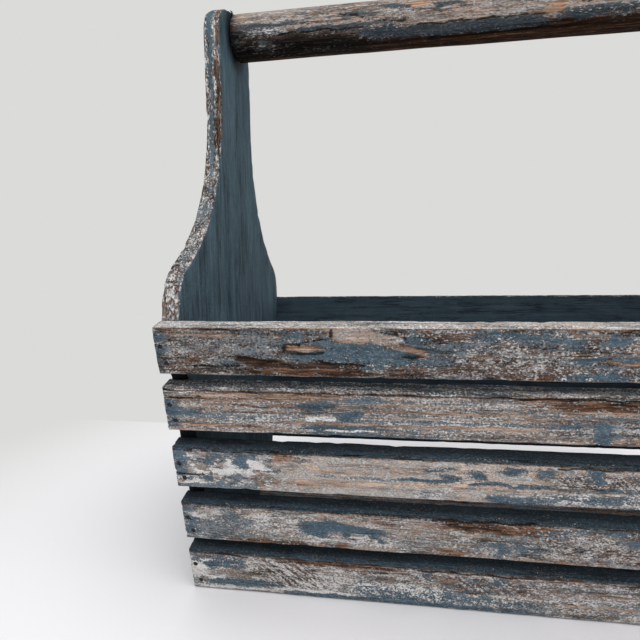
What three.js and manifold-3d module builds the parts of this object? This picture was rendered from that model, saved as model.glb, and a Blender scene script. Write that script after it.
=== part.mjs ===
// Slatted wooden tool caddy. Two sculpted end boards carry five slats on each of the leaning long
// sides, a floor panel between them and a round handle across the top.
// Millimetres, +Z up, +X along the handle, -Y towards the front.
// The origin is on the ground, under the middle of the caddy.

import * as THREE from 'three';
import { mergeVertices } from 'three/addons/utils/BufferGeometryUtils.js';
import Module from 'manifold-3d';

const wasm = await Module();
wasm.setup();

// Driving dimensions: the whole caddy
const caddyLength = 430; // over the outer faces of the end boards
const rimDepth = 260; // over the outer arrises of the two top slats
const splay = THREE.MathUtils.degToRad(12.8); // lean of the long sides from upright
const fitGap = 0.3; // clearance between neighbouring pieces

// Driving dimensions: slats
const slatHeight = 29;
const footSlatHeight = 32; // the lowest slat is a little taller
const slatThickness = 12;
const rimGap = 6.8; // open gap under the top slat
const middleGap = 10.4; // open gaps above and below the middle slat
const footGap = 8.2; // open gap over the lowest slat
const slatArris = 1.2; // flat worn on each long arris

// Driving dimensions: end boards
const boardThickness = 12;
const shoulderRise = 2.3; // upright edge between the top slat and the shoulder
const shoulderRadius = 33; // rounded shoulder
const sweepRadius = 123; // hollow sweep from the shoulder up to the neck
const neckWidth = 74;
const crownRise = 26; // height of the half ellipse that rounds the top of the neck
const crownMargin = 0.2; // wood left above the handle

// Driving dimensions: handle and its screws
const handleDiameter = 32;
const handleRise = 204.5; // handle axis above the rim
const handleChamfer = 1.5;
const screwHeadDiameter = 8;
const screwShankDiameter = 4;
const screwLength = 40;
const screwTip = 6;
const slotWidth = 1.2;
const slotDepth = 1;

// Driving dimensions: floor panel
const floorThickness = 10;
const floorBradInset = 28; // from the panel's lower long edge

// Driving dimensions: brads
const bradDiameter = 1.4;
const bradHeadDiameter = 1.9;
const bradHeadDepth = 1;
const bradLength = 25;
const bradTip = 2;
const bradSink = 0.6; // head punched below the wood
const bradUpperDrop = 12; // upper brad below the slat's upper edge
const bradLowerMargin = 7; // lower brad above the slat's lower edge
const bradStagger = 2.2; // upper brad nearer the slat's end, off the board's centre line

// Facets on round pieces
const dowelSides = 40;
const screwSides = 16;
const bradSides = 8;
const curveSteps = 14;
const overcut = 1; // how far a cutter runs out past the wood
const mergeTolerance = 1e-4; // points closer than this are one point

// Worked out from the driving dimensions
const slats = []; // from the rim down: where a slat's upper edge is along the slope, and its height
let footTop = 0;
for (const gap of [rimGap, middleGap, middleGap, footGap]) {
  slats.push({ top: footTop, height: slatHeight });
  footTop += slatHeight + gap;
}
slats.push({ top: footTop, height: footSlatHeight });
const sideLength = footTop + footSlatHeight;
const rimHeight = sideLength * Math.cos(splay);
const innerLength = caddyLength - 2 * boardThickness;
const seatDepth = slatThickness + fitGap; // from a slat's outer face to the board's edge
const edgeHalf = rimDepth / 2 - seatDepth * Math.cos(splay);
const edgeTop = rimHeight + seatDepth * Math.sin(splay);
const handleHeight = rimHeight + handleRise;
const boardTop = handleHeight + handleDiameter / 2 + crownMargin;
const screwHeadDepth = (screwHeadDiameter - screwShankDiameter) / 2; // cone at 45 degrees
const bradHoleRadius = bradHeadDiameter / 2 + fitGap;
const bradReach = bradSink + bradLength + fitGap; // depth of a brad's hole from the outer face

// Half the width between the leaning sides, where boards and floor meet the slats
const halfWidthAt = (height) => edgeHalf - (edgeTop - height) * Math.tan(splay);

const ends = [
  { name: 'left', sign: -1 },
  { name: 'right', sign: 1 },
];
const sides = [
  { name: 'front', turn: 0, sign: 1 },
  { name: 'back', turn: Math.PI, sign: -1 },
];

const finishes = {
  slat: new THREE.MeshStandardMaterial({ color: 0x77797c, roughness: 0.85, metalness: 0 }),
  board: new THREE.MeshStandardMaterial({ color: 0x3e505e, roughness: 0.8, metalness: 0 }),
  handle: new THREE.MeshStandardMaterial({ color: 0x8a7465, roughness: 0.8, metalness: 0 }),
  floor: new THREE.MeshStandardMaterial({ color: 0x36434d, roughness: 0.85, metalness: 0 }),
  brad: new THREE.MeshStandardMaterial({ color: 0x2f2c2a, roughness: 0.6, metalness: 0.8 }),
  screw: new THREE.MeshStandardMaterial({ color: 0x6f6e6a, roughness: 0.45, metalness: 0.9 }),
};

// A closed three.js geometry as a solid that can be cut
function toSolid(geometry) {
  const bare = geometry.clone();
  bare.deleteAttribute('normal');
  bare.deleteAttribute('uv');
  const merged = mergeVertices(bare, mergeTolerance);
  const vertProperties = new Float32Array(merged.attributes.position.array);
  const triVerts = new Uint32Array(merged.index.array);
  return new wasm.Manifold(new wasm.Mesh({ numProp: 3, vertProperties, triVerts }));
}

// A piece with every cutter taken out of it, as a three.js geometry
function cutGeometry(geometry, cutters) {
  let solid = toSolid(geometry);
  for (const cutter of cutters) {
    solid = solid.subtract(toSolid(cutter));
  }
  const mesh = solid.getMesh();
  const result = new THREE.BufferGeometry();
  result.setAttribute('position', new THREE.BufferAttribute(mesh.vertProperties, 3));
  result.setIndex(new THREE.BufferAttribute(mesh.triVerts, 1));
  result.computeVertexNormals();
  return result;
}

// A section drawn in Y and Z, drawn out along X and centred on it
function alongX(section, length) {
  const settings = { depth: length, bevelEnabled: false, curveSegments: curveSteps };
  const geometry = new THREE.ExtrudeGeometry(section, settings);
  const axes = new THREE.Matrix4().makeBasis(
    new THREE.Vector3(0, 1, 0),
    new THREE.Vector3(0, 0, 1),
    new THREE.Vector3(1, 0, 0),
  );
  return geometry.applyMatrix4(axes).translate(-length / 2, 0, 0);
}

// A round piece turned about Y from points of radius and height
function turned(points, sidesAround) {
  const profile = points.map(([radius, height]) => new THREE.Vector2(radius, height));
  return new THREE.LatheGeometry(profile, sidesAround);
}

// A round cutter along +Y from one depth to another
function roundCutter(radius, from, to, sidesAround) {
  const cutter = new THREE.CylinderGeometry(radius, radius, to - from, sidesAround);
  return cutter.translate(0, (from + to) / 2, 0);
}

function addPiece(parent, name, geometry, material) {
  const piece = new THREE.Mesh(geometry, material);
  piece.name = name;
  parent.add(piece);
  return piece;
}

// Frame of one long side: the origin is on the upper outer arris of the top slat, +Y runs into the
// wood and +Z up the slope
function sideFrame(side) {
  const turnedGroup = new THREE.Group();
  turnedGroup.rotation.z = side.turn;
  const frame = new THREE.Group();
  frame.position.set(0, -rimDepth / 2, rimHeight);
  frame.rotation.x = splay;
  turnedGroup.add(frame);
  turnedGroup.updateMatrixWorld(true);
  return { turnedGroup, frame };
}

// Where each brad of one slat stands, in the frame of its side and down from the slat's upper edge
function slatBrads(side, slat) {
  const rows = [
    { name: 'upper', drop: bradUpperDrop, inset: boardThickness / 2 - bradStagger },
    { name: 'lower', drop: slat.height - bradLowerMargin, inset: boardThickness / 2 },
  ];
  const brads = [];
  for (const end of ends) {
    for (const row of rows) {
      const along = side.sign * end.sign * (caddyLength / 2 - row.inset);
      brads.push({ end, row, along });
    }
  }
  return brads;
}

function bradGeometry() {
  const shank = bradDiameter / 2;
  const head = bradHeadDiameter / 2;
  const neck = bradHeadDepth + head - shank;
  return turned(
    [
      [0, 0],
      [head, 0],
      [head, bradHeadDepth],
      [shank, neck],
      [shank, bradLength - bradTip],
      [0, bradLength],
    ],
    bradSides,
  );
}

function slatGeometry(side, slat) {
  const section = new THREE.Shape();
  section.moveTo(slatArris, -slat.height);
  section.lineTo(slatThickness - slatArris, -slat.height);
  section.lineTo(slatThickness, slatArris - slat.height);
  section.lineTo(slatThickness, -slatArris);
  section.lineTo(slatThickness - slatArris, 0);
  section.lineTo(slatArris, 0);
  section.lineTo(0, -slatArris);
  section.lineTo(0, slatArris - slat.height);
  section.closePath();
  const holes = slatBrads(side, slat).map(({ row, along }) => {
    const hole = roundCutter(bradHoleRadius, -overcut, slatThickness + overcut, bradSides);
    return hole.translate(along, 0, -row.drop);
  });
  return cutGeometry(alongX(section, caddyLength), holes);
}

function boardSection() {
  const neckHalf = neckWidth / 2;
  const shoulder = edgeTop + shoulderRise;
  const shoulderCentre = edgeHalf - shoulderRadius;
  const sweepCentre = neckHalf + sweepRadius;
  const reach = sweepCentre - shoulderCentre;
  const climb = Math.sqrt((shoulderRadius + sweepRadius) ** 2 - reach ** 2);
  const sweepTop = shoulder + climb;
  const crownBase = boardTop - crownRise;
  const join = Math.atan2(climb, reach); // where shoulder and sweep share a tangent

  const section = new THREE.Shape();
  section.moveTo(-halfWidthAt(0), 0);
  section.lineTo(halfWidthAt(0), 0);
  section.lineTo(edgeHalf, edgeTop);
  section.lineTo(edgeHalf, shoulder);
  section.absarc(shoulderCentre, shoulder, shoulderRadius, 0, join, false);
  section.absarc(sweepCentre, sweepTop, sweepRadius, Math.PI + join, Math.PI, true);
  section.lineTo(neckHalf, crownBase);
  section.absellipse(0, crownBase, neckHalf, crownRise, 0, Math.PI, false);
  section.lineTo(-neckHalf, sweepTop);
  section.absarc(-sweepCentre, sweepTop, sweepRadius, 0, -join, true);
  section.absarc(-shoulderCentre, shoulder, shoulderRadius, Math.PI - join, Math.PI, false);
  section.lineTo(-edgeHalf, edgeTop);
  section.closePath();
  return section;
}

// Frame of what is driven through one end board: the origin is on its outer face, +Y runs into the
// wood along the handle
function endFrame(end, across, height) {
  const frame = new THREE.Group();
  frame.position.set((end.sign * caddyLength) / 2, across, height);
  frame.rotation.z = (end.sign * Math.PI) / 2;
  frame.updateMatrixWorld(true);
  return frame;
}

const floorBradAcross = halfWidthAt(0) - floorBradInset;
const floorBradPlaces = [
  { name: 'front', across: -floorBradAcross },
  { name: 'back', across: floorBradAcross },
];

function floorBradFrame(end, place) {
  return endFrame(end, place.across, floorThickness / 2);
}

function handleScrewFrame(end) {
  return endFrame(end, 0, handleHeight);
}

function screwGeometry() {
  const head = screwHeadDiameter / 2;
  const shank = screwShankDiameter / 2;
  const body = turned(
    [
      [0, 0],
      [head, 0],
      [shank, screwHeadDepth],
      [shank, screwLength - screwTip],
      [0, screwLength],
    ],
    screwSides,
  );
  const slot = new THREE.BoxGeometry(screwHeadDiameter + overcut, 2 * slotDepth, slotWidth);
  return cutGeometry(body, [slot]);
}

// Countersunk hole for the handle screw, right through an end board
function screwHole() {
  const head = screwHeadDiameter / 2 + fitGap;
  const shank = screwShankDiameter / 2 + fitGap;
  return turned(
    [
      [0, -overcut],
      [head, -overcut],
      [head, 0],
      [shank, screwHeadDepth],
      [shank, boardThickness + overcut],
      [0, boardThickness + overcut],
    ],
    screwSides,
  );
}

function boardGeometry(end, sideFrames) {
  const blank = alongX(boardSection(), boardThickness);
  blank.translate((end.sign * (caddyLength - boardThickness)) / 2, 0, 0);
  const cutters = [];
  for (const { side, frame } of sideFrames) {
    for (const slat of slats) {
      const brads = slatBrads(side, slat).filter((brad) => brad.end === end);
      for (const { row, along } of brads) {
        const hole = roundCutter(bradHoleRadius, slatThickness - overcut, bradReach, bradSides);
        hole.translate(along, 0, -slat.top - row.drop);
        cutters.push(hole.applyMatrix4(frame.matrixWorld));
      }
    }
  }
  for (const place of floorBradPlaces) {
    const hole = roundCutter(bradHoleRadius, -overcut, boardThickness + overcut, bradSides);
    cutters.push(hole.applyMatrix4(floorBradFrame(end, place).matrixWorld));
  }
  cutters.push(screwHole().applyMatrix4(handleScrewFrame(end).matrixWorld));
  return cutGeometry(blank, cutters);
}

function floorGeometry() {
  const section = new THREE.Shape();
  section.moveTo(-halfWidthAt(0), 0);
  section.lineTo(halfWidthAt(0), 0);
  section.lineTo(halfWidthAt(floorThickness), floorThickness);
  section.lineTo(-halfWidthAt(floorThickness), floorThickness);
  section.closePath();
  const holes = [];
  for (const end of ends) {
    for (const place of floorBradPlaces) {
      const hole = roundCutter(bradHoleRadius, boardThickness - overcut, bradReach, bradSides);
      holes.push(hole.applyMatrix4(floorBradFrame(end, place).matrixWorld));
    }
  }
  return cutGeometry(alongX(section, innerLength - 2 * fitGap), holes);
}

function handleGeometry() {
  const radius = handleDiameter / 2;
  const half = innerLength / 2 - fitGap;
  const dowel = turned(
    [
      [0, -half],
      [radius - handleChamfer, -half],
      [radius, handleChamfer - half],
      [radius, half - handleChamfer],
      [radius - handleChamfer, half],
      [0, half],
    ],
    dowelSides,
  );
  dowel.rotateZ(-Math.PI / 2).translate(0, 0, handleHeight);
  const holes = ends.map((end) => {
    const holeRadius = screwShankDiameter / 2 + fitGap;
    const hole = roundCutter(holeRadius, boardThickness - overcut, screwLength + fitGap, screwSides);
    return hole.applyMatrix4(handleScrewFrame(end).matrixWorld);
  });
  return cutGeometry(dowel, holes);
}

const caddy = new THREE.Group();
caddy.name = 'tool_caddy';

const sideFrames = sides.map((side) => {
  const { turnedGroup, frame } = sideFrame(side);
  caddy.add(turnedGroup);
  return { side, frame };
});

for (const { side, frame } of sideFrames) {
  for (const [index, slat] of slats.entries()) {
    const slatName = `${side.name}_slat_${index + 1}`;
    const piece = addPiece(frame, slatName, slatGeometry(side, slat), finishes.slat);
    piece.position.z = -slat.top;
    for (const { end, row, along } of slatBrads(side, slat)) {
      const bradName = `${slatName}_${end.name}_${row.name}_brad`;
      const brad = addPiece(frame, bradName, bradGeometry(), finishes.brad);
      brad.position.set(along, bradSink, -slat.top - row.drop);
    }
  }
}

for (const end of ends) {
  addPiece(caddy, `${end.name}_end_board`, boardGeometry(end, sideFrames), finishes.board);

  const screwFrame = handleScrewFrame(end);
  addPiece(screwFrame, `${end.name}_handle_screw`, screwGeometry(), finishes.screw);
  caddy.add(screwFrame);

  for (const place of floorBradPlaces) {
    const bradFrame = floorBradFrame(end, place);
    const bradName = `${end.name}_floor_${place.name}_brad`;
    const brad = addPiece(bradFrame, bradName, bradGeometry(), finishes.brad);
    brad.position.y = bradSink;
    caddy.add(bradFrame);
  }
}

addPiece(caddy, 'floor_panel', floorGeometry(), finishes.floor);
addPiece(caddy, 'handle_dowel', handleGeometry(), finishes.handle);

export default caddy;
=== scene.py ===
"""A slatted wooden tool caddy in worn slate-blue paint, dressed around its fixed frame.

Lengths are metres. +Z is up, +X runs along the handle and -Y is the front.
"""

from __future__ import annotations

import logging
import math
from contextlib import contextmanager
from dataclasses import asdict, dataclass
from enum import Enum
from typing import Callable, Iterator, Mapping, Sequence, Union

import bmesh
import bpy
import numpy as np
from mathutils import Matrix, Vector

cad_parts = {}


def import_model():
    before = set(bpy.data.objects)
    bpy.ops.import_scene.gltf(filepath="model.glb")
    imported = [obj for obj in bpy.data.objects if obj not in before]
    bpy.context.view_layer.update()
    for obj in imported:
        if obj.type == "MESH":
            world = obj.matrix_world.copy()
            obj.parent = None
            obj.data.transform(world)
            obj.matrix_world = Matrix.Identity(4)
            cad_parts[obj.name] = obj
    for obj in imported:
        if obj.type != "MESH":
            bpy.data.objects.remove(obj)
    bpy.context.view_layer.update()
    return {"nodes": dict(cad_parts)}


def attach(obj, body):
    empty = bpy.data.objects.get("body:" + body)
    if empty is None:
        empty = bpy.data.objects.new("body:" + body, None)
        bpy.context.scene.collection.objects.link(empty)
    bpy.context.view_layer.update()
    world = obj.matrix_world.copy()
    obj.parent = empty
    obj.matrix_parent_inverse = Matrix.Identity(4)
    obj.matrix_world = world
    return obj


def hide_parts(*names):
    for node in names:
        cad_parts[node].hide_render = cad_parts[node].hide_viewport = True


LOG = logging.getLogger("tool_caddy")

BODY = "root"
MM = 0.001
FULL_TURN = 2.0 * math.pi
WEAR = "wear"  # corner attribute: paint, chalk, tone of the bare wood, worn arris
HABIT = "habit"  # corner attribute: streaks, flakes, saw marks, grime and painted shade
MARKS = "marks"  # corner attribute: rust, nearness to a crack, pale film
ARRIS_GROUP = "arris"
SMOOTH_ANGLE = math.radians(38)
EASE_ANGLE = math.radians(30)  # arrises sharper than this are eased
STRAIGHT = 0.995  # share of a length that lies along an axis, from which it counts as running along it
SLAT_FACING = (0.5, 0.8)  # part of a normal along an axis, over which a corner comes to count to a face
BOARD_FACING = (0.6, 0.9)
BARE_ARRIS = (0.2, 0.7)  # wear of an arris over which its own tone comes through
SCREW_HOLE_SIDES = 32
UNREAD = 0.0  # fourth value of the marks, which no finish reads
WHITE = (1.0, 1.0, 1.0, 1.0)
FLOAT = "NodeSocketFloat"
VECTOR = "NodeSocketVector"
COLOUR = "NodeSocketColor"

Piece = bpy.types.Object
Material = bpy.types.Material
Socket = bpy.types.NodeSocket
Tree = bpy.types.NodeTree
Edge = bmesh.types.BMEdge
Array = np.ndarray
Colour = tuple[float, float, float, float]
Span = tuple[float, float, float, float]  # a range of values, and the range that it is eased to
Input = Union[Socket, float, Colour, Vector]
Layers = tuple[Array, Array, Array]
WearRule = Callable[[Array, Array], Layers]
EdgeTest = Callable[[Edge], bool]
Crack = tuple[tuple[float, float], ...]

FULL_LEVEL = 255
DARK_LIMIT = 0.04045  # screen colours darker than this are a plain share of the light
DARK_SLOPE = 12.92
CURVE_LIFT = 0.055
CURVE_POWER = 2.4


def tone(red: int, green: int, blue: int) -> Colour:
    """Turns a screen colour into the linear colour that a shader takes.

    Args:
        red: Red from 0 to 255.
        green: Green from 0 to 255.
        blue: Blue from 0 to 255.

    Returns:
        The linear colour with full alpha.
    """
    linear = []
    for level in (red, green, blue):
        share = level / FULL_LEVEL
        curved = ((share + CURVE_LIFT) / (1.0 + CURVE_LIFT)) ** CURVE_POWER
        linear.append(share / DARK_SLOPE if share <= DARK_LIMIT else curved)
    return (linear[0], linear[1], linear[2], 1.0)


class Side(Enum):
    """A long side of the caddy."""

    FRONT = "front"
    BACK = "back"

    @property
    def turn(self) -> float:
        """Turn of this side about the upright axis."""
        return 0.0 if self is Side.FRONT else math.pi


class End(Enum):
    """An end of the caddy."""

    LEFT = "left"
    RIGHT = "right"

    @property
    def sign(self) -> int:
        """Direction of this end along the handle."""
        return -1 if self is End.LEFT else 1

    @property
    def turn(self) -> Matrix:
        """Turn that faces a piece made for the left end outwards at this end."""
        return Matrix.Rotation(0.0 if self is End.LEFT else math.pi, 4, "Z")


class Grain(Enum):
    """The way a piece's grain runs, with the turn that lays it along X."""

    LENGTHWISE = (0.0, 0.0, 0.0)
    UPRIGHT = (0.0, math.pi / 2, 0.0)


@dataclass(frozen=True)
class CaddySizes:
    """Driving sizes of the caddy, the same as its frame's."""

    length: float = 0.430
    rim_depth: float = 0.260
    splay: float = math.radians(12.8)
    fit_gap: float = 0.0003
    slat_height: float = 0.029
    foot_slat_height: float = 0.032
    slat_thickness: float = 0.012
    slat_gaps: tuple[float, ...] = (0.0068, 0.0104, 0.0104, 0.0082)
    board_thickness: float = 0.012
    shoulder_rise: float = 0.0023
    shoulder_radius: float = 0.033
    sweep_radius: float = 0.123
    neck_width: float = 0.074
    crown_rise: float = 0.026
    crown_margin: float = 0.0002
    handle_radius: float = 0.016
    handle_rise: float = 0.2045
    floor_thickness: float = 0.010
    floor_brad_inset: float = 0.028
    brad_hole_radius: float = 0.00125
    brad_reach: float = 0.0259
    brad_upper_drop: float = 0.012
    brad_lower_margin: float = 0.007
    brad_stagger: float = 0.0022
    screw_length: float = 0.040
    screw_head_radius: float = 0.004
    screw_shank_radius: float = 0.002
    overcut: float = 0.0012  # how far a cutter passes the surface that it cuts

    @property
    def slat_tops(self) -> tuple[float, ...]:
        """Upper edges of the slats, measured down the slope from the rim."""
        tops = [0.0]
        for gap in self.slat_gaps:
            tops.append(tops[-1] + self.slat_height + gap)
        return tuple(tops)

    @property
    def slat_heights(self) -> tuple[float, ...]:
        """Heights of the slats, from the rim down."""
        return (self.slat_height,) * len(self.slat_gaps) + (self.foot_slat_height,)

    @property
    def rim_height(self) -> float:
        """Height of the rim over the ground."""
        return (self.slat_tops[-1] + self.foot_slat_height) * math.cos(self.splay)

    @property
    def seat_depth(self) -> float:
        """Depth from a slat's outer face to the board's edge."""
        return self.slat_thickness + self.fit_gap

    @property
    def edge_half(self) -> float:
        """Half the board's width at the top of its leaning edges."""
        return self.rim_depth / 2 - self.seat_depth * math.cos(self.splay)

    @property
    def edge_top(self) -> float:
        """Height of the top of the board's leaning edges."""
        return self.rim_height + self.seat_depth * math.sin(self.splay)

    @property
    def handle_height(self) -> float:
        """Height of the handle's axis."""
        return self.rim_height + self.handle_rise

    @property
    def board_top(self) -> float:
        """Height of the crown of an end board."""
        return self.handle_height + self.handle_radius + self.crown_margin

    @property
    def inner_length(self) -> float:
        """Clear length between the end boards."""
        return self.length - 2 * self.board_thickness

    @property
    def screw_hole_radius(self) -> float:
        """Radius of the hole round a screw's shank."""
        return self.screw_shank_radius + self.fit_gap

    @property
    def floor_brad_across(self) -> float:
        """Distance of the floor brads from the middle plane."""
        return self.half_width_at(0.0) - self.floor_brad_inset

    def end_place(self, end: End, height: float = 0.0) -> Matrix:
        """Gives the frame of a piece at an end: X inwards from the outer face, at a height."""
        return Matrix.Translation((end.sign * self.length / 2, 0.0, height)) @ end.turn

    def half_width_at(self, height: float) -> float:
        """Gives half the width between the leaning sides at a height."""
        return self.edge_half - (self.edge_top - height) * math.tan(self.splay)

    def side_place(self, side: Side, drop: float) -> Matrix:
        """Gives the frame of a slat: X along it, Y into the wood, Z up the slope.

        Args:
            side: The long side that the slat is on.
            drop: Distance of its upper edge down the slope from the rim.

        Returns:
            The matrix from the slat's own frame to the caddy's.
        """
        corner = Matrix.Translation((0.0, -self.rim_depth / 2, self.rim_height))
        lean = Matrix.Rotation(self.splay, 4, "X")
        down = Matrix.Translation((0.0, 0.0, -drop))
        return Matrix.Rotation(side.turn, 4, "Z") @ corner @ lean @ down

    def brad_spots(self, slat_height: float) -> list[tuple[float, float]]:
        """Lists where brads go through a slat, as places along it and down from its upper edge."""
        spots = []
        half = self.length / 2
        for end in End:
            upper_inset = self.board_thickness / 2 - self.brad_stagger
            spots.append((end.sign * (half - upper_inset), self.brad_upper_drop))
            lower_drop = slat_height - self.brad_lower_margin
            spots.append((end.sign * (half - self.board_thickness / 2), lower_drop))
        return spots


def clear_selection() -> None:
    """Leaves edit mode and selects nothing."""
    if bpy.context.object is not None and bpy.context.object.mode != "OBJECT":
        bpy.ops.object.mode_set(mode="OBJECT")
    bpy.ops.object.select_all(action="DESELECT")


def activate(piece: Piece) -> None:
    """Selects one piece alone and makes it the active one."""
    clear_selection()
    piece.select_set(True)
    bpy.context.view_layer.objects.active = piece


@contextmanager
def editing(piece: Piece) -> Iterator[None]:
    """Opens a piece in edit mode with nothing selected, and closes it again."""
    activate(piece)
    bpy.ops.object.mode_set(mode="EDIT")
    bpy.ops.mesh.select_mode(type="EDGE")
    bpy.ops.mesh.select_all(action="DESELECT")
    yield
    bpy.ops.object.mode_set(mode="OBJECT")


def pick_edges(piece: Piece, test: EdgeTest) -> int:
    """Selects the edges of the piece in edit mode that pass a test, and only those.

    Args:
        piece: The piece in edit mode.
        test: Says whether an edge is wanted.

    Returns:
        How many edges are selected.
    """
    bpy.ops.mesh.select_mode(type="EDGE")
    bpy.ops.mesh.select_all(action="DESELECT")
    mesh = bmesh.from_edit_mesh(piece.data)
    picked = [edge for edge in mesh.edges if test(edge)]
    for edge in picked:
        edge.select_set(True)
    bmesh.update_edit_mesh(piece.data)
    return len(picked)


def runs_along(axis: int, longer_than: float) -> EdgeTest:
    """Makes a test for edges that run along an axis and are longer than a length."""

    def test(edge: Edge) -> bool:
        """Says whether the edge runs along the axis."""
        run = edge.verts[1].co - edge.verts[0].co
        return run.length > longer_than and abs(run[axis]) > STRAIGHT * run.length

    return test


def lies_above(height: float) -> EdgeTest:
    """Makes a test for edges that lie above a height."""
    return lambda edge: all(vertex.co.z > height for vertex in edge.verts)


def widen(factor: float, height: float) -> None:
    """Scales what is selected across the caddy, about the middle plane at a height."""
    bpy.ops.transform.resize(value=(1.0, factor, 1.0), center_override=(0.0, 0.0, height))


def push_out(way: Sequence[float]) -> None:
    """Extrudes what is selected along a way."""
    bpy.ops.mesh.extrude_region_move(TRANSFORM_OT_translate={"value": way})


def split_edges(piece: Piece, axis: int, longer_than: float, cuts: int) -> None:
    """Divides every long edge along an axis, and the faces between, into equal strips.

    Args:
        piece: The piece in edit mode.
        axis: Index of the axis that the edges run along.
        longer_than: Shorter edges are left alone.
        cuts: Number of cuts in each edge.
    """
    if pick_edges(piece, runs_along(axis, longer_than)):
        bpy.ops.mesh.subdivide(number_cuts=cuts, smoothness=0.0)


def bisect_at(places: Sequence[float], axis: int) -> None:
    """Cuts the whole mesh in edit mode by planes square to an axis.

    Args:
        places: Positions of the planes along the axis.
        axis: Index of the axis.
    """
    normal = [0.0, 0.0, 0.0]
    normal[axis] = 1.0
    for place in places:
        point = [0.0, 0.0, 0.0]
        point[axis] = place
        bpy.ops.mesh.select_all(action="SELECT")
        bpy.ops.mesh.bisect(plane_co=point, plane_no=normal, use_fill=False)


def take_primitive(name: str) -> Piece:
    """Names the primitive that was added last, and bakes its place into its mesh."""
    piece = bpy.context.object
    piece.name = name
    piece.data.name = name
    bpy.ops.object.transform_apply(location=True, rotation=True, scale=True)
    return piece


def add_block(name: str, low: Sequence[float], high: Sequence[float]) -> Piece:
    """Adds a squared block of wood between two corners.

    Args:
        name: Name of the new piece.
        low: Its lowest corner.
        high: Its highest corner.

    Returns:
        The block, with its place in its mesh.
    """
    clear_selection()
    centre = [(a + b) / 2 for a, b in zip(low, high)]
    extent = [b - a for a, b in zip(low, high)]
    bpy.ops.mesh.primitive_cube_add(size=1.0, location=centre, scale=extent)
    return take_primitive(name)


def copy_piece(piece: Piece, name: str) -> Piece:
    """Copies a piece with a mesh of its own.

    Args:
        piece: The piece to copy.
        name: Name of the copy.

    Returns:
        The copy, in the scene.
    """
    copy = piece.copy()
    copy.data = piece.data.copy()
    copy.name = name
    copy.data.name = name
    bpy.context.scene.collection.objects.link(copy)
    return copy


def discard(piece: Piece) -> None:
    """Removes a helper object and its mesh."""
    mesh = piece.data
    bpy.data.objects.remove(piece, do_unlink=True)
    bpy.data.meshes.remove(mesh)


def apply_modifier(piece: Piece, kind: str, settings: Mapping[str, object]) -> None:
    """Adds a modifier with its settings and applies it.

    Args:
        piece: The piece to change.
        kind: Blender's name of the modifier type.
        settings: Values of the modifier's properties.
    """
    modifier = piece.modifiers.new(kind.title(), kind)
    for key, value in settings.items():
        setattr(modifier, key, value)
    activate(piece)
    bpy.ops.object.modifier_apply(modifier=modifier.name)


def settle(piece: Piece, place: Matrix) -> None:
    """Moves a piece to its place and bakes the place into its mesh."""
    piece.matrix_world = place
    activate(piece)
    bpy.ops.object.transform_apply(location=True, rotation=True, scale=True)


def ease_arrises(piece: Piece, width: float, angle: float = EASE_ANGLE, clamp: bool = True) -> None:
    """Rounds the arrises of a piece.

    Args:
        piece: The piece to ease.
        width: Width of the rounding.
        angle: Only sharper arrises than this are rounded.
        clamp: Whether roundings stop where they would meet.
    """
    settings = {"width": width, "segments": 2, "limit_method": "ANGLE"}
    settings |= {"angle_limit": angle, "use_clamp_overlap": clamp}
    apply_modifier(piece, "BEVEL", settings)


def cut_away(piece: Piece, cutter: Piece) -> None:
    """Cuts a helper's shape out of a piece, and removes the helper."""
    settings = {"operation": "DIFFERENCE", "object": cutter, "solver": "MANIFOLD"}
    apply_modifier(piece, "BOOLEAN", settings)
    discard(cutter)


@dataclass(frozen=True)
class Hole:
    """A round hole, from a point along a direction."""

    start: Vector
    direction: Vector
    depth: float
    radius: float
    sides: int = 20


def drill(piece: Piece, holes: Sequence[Hole]) -> None:
    """Cuts round holes into a piece.

    Args:
        piece: The piece to drill.
        holes: The holes, none of which meets another.
    """
    clear_selection()
    cutters = []
    for hole in holes:
        aim = hole.direction.normalized()
        bpy.ops.mesh.primitive_cylinder_add(
            vertices=hole.sides,
            radius=hole.radius,
            depth=hole.depth,
            location=hole.start + aim * (hole.depth / 2),
            rotation=aim.to_track_quat("Z", "Y").to_euler(),
        )
        cutters.append(bpy.context.object)
    clear_selection()
    for cutter in cutters:
        cutter.select_set(True)
    bpy.context.view_layer.objects.active = cutters[0]
    bpy.ops.object.join()
    cut_away(piece, cutters[0])


@dataclass(frozen=True)
class Relief:
    """An unevenness of a planed surface."""

    name: str
    depth: float
    along: float  # length of its marks along the grain
    across: float  # length of its marks across the grain
    octaves: int = 2
    level: float = 0.5  # share of the depth that lies above the planed surface
    bite: tuple[float, float] = (0.0, 1.0)  # band of the noise over which it grows to full depth
    arris_only: bool = False

    def carve(self, piece: Piece, grain: Grain, seed: float) -> None:
        """Carves the relief into a piece.

        Args:
            piece: The piece to carve.
            grain: The way that its grain runs.
            seed: Place in the noise, so that no two pieces are alike.
        """
        texture = bpy.data.textures.new(self.name, "CLOUDS")
        texture.noise_scale = 1.0
        texture.noise_depth = self.octaves
        texture.use_color_ramp = True
        for element, share in zip(texture.color_ramp.elements, (0.0, 1.0)):
            element.position = self.bite[int(share)]
            element.color = (share, share, share, 1.0)
        guide = bpy.data.objects.new(self.name, None)
        bpy.context.scene.collection.objects.link(guide)
        guide.location = (seed * self.along, seed * self.across, 0.0)
        spread = (self.along, self.across, self.across)
        guide.scale = spread if grain is Grain.LENGTHWISE else spread[::-1]
        bpy.context.view_layer.update()
        settings = {
            "texture": texture,
            "texture_coords": "OBJECT",
            "texture_coords_object": guide,
            "direction": "NORMAL",
            "mid_level": self.level,
            "strength": -self.depth,
            "vertex_group": ARRIS_GROUP if self.arris_only else "",
        }
        apply_modifier(piece, "DISPLACE", settings)
        bpy.data.objects.remove(guide, do_unlink=True)
        bpy.data.textures.remove(texture)


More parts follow.
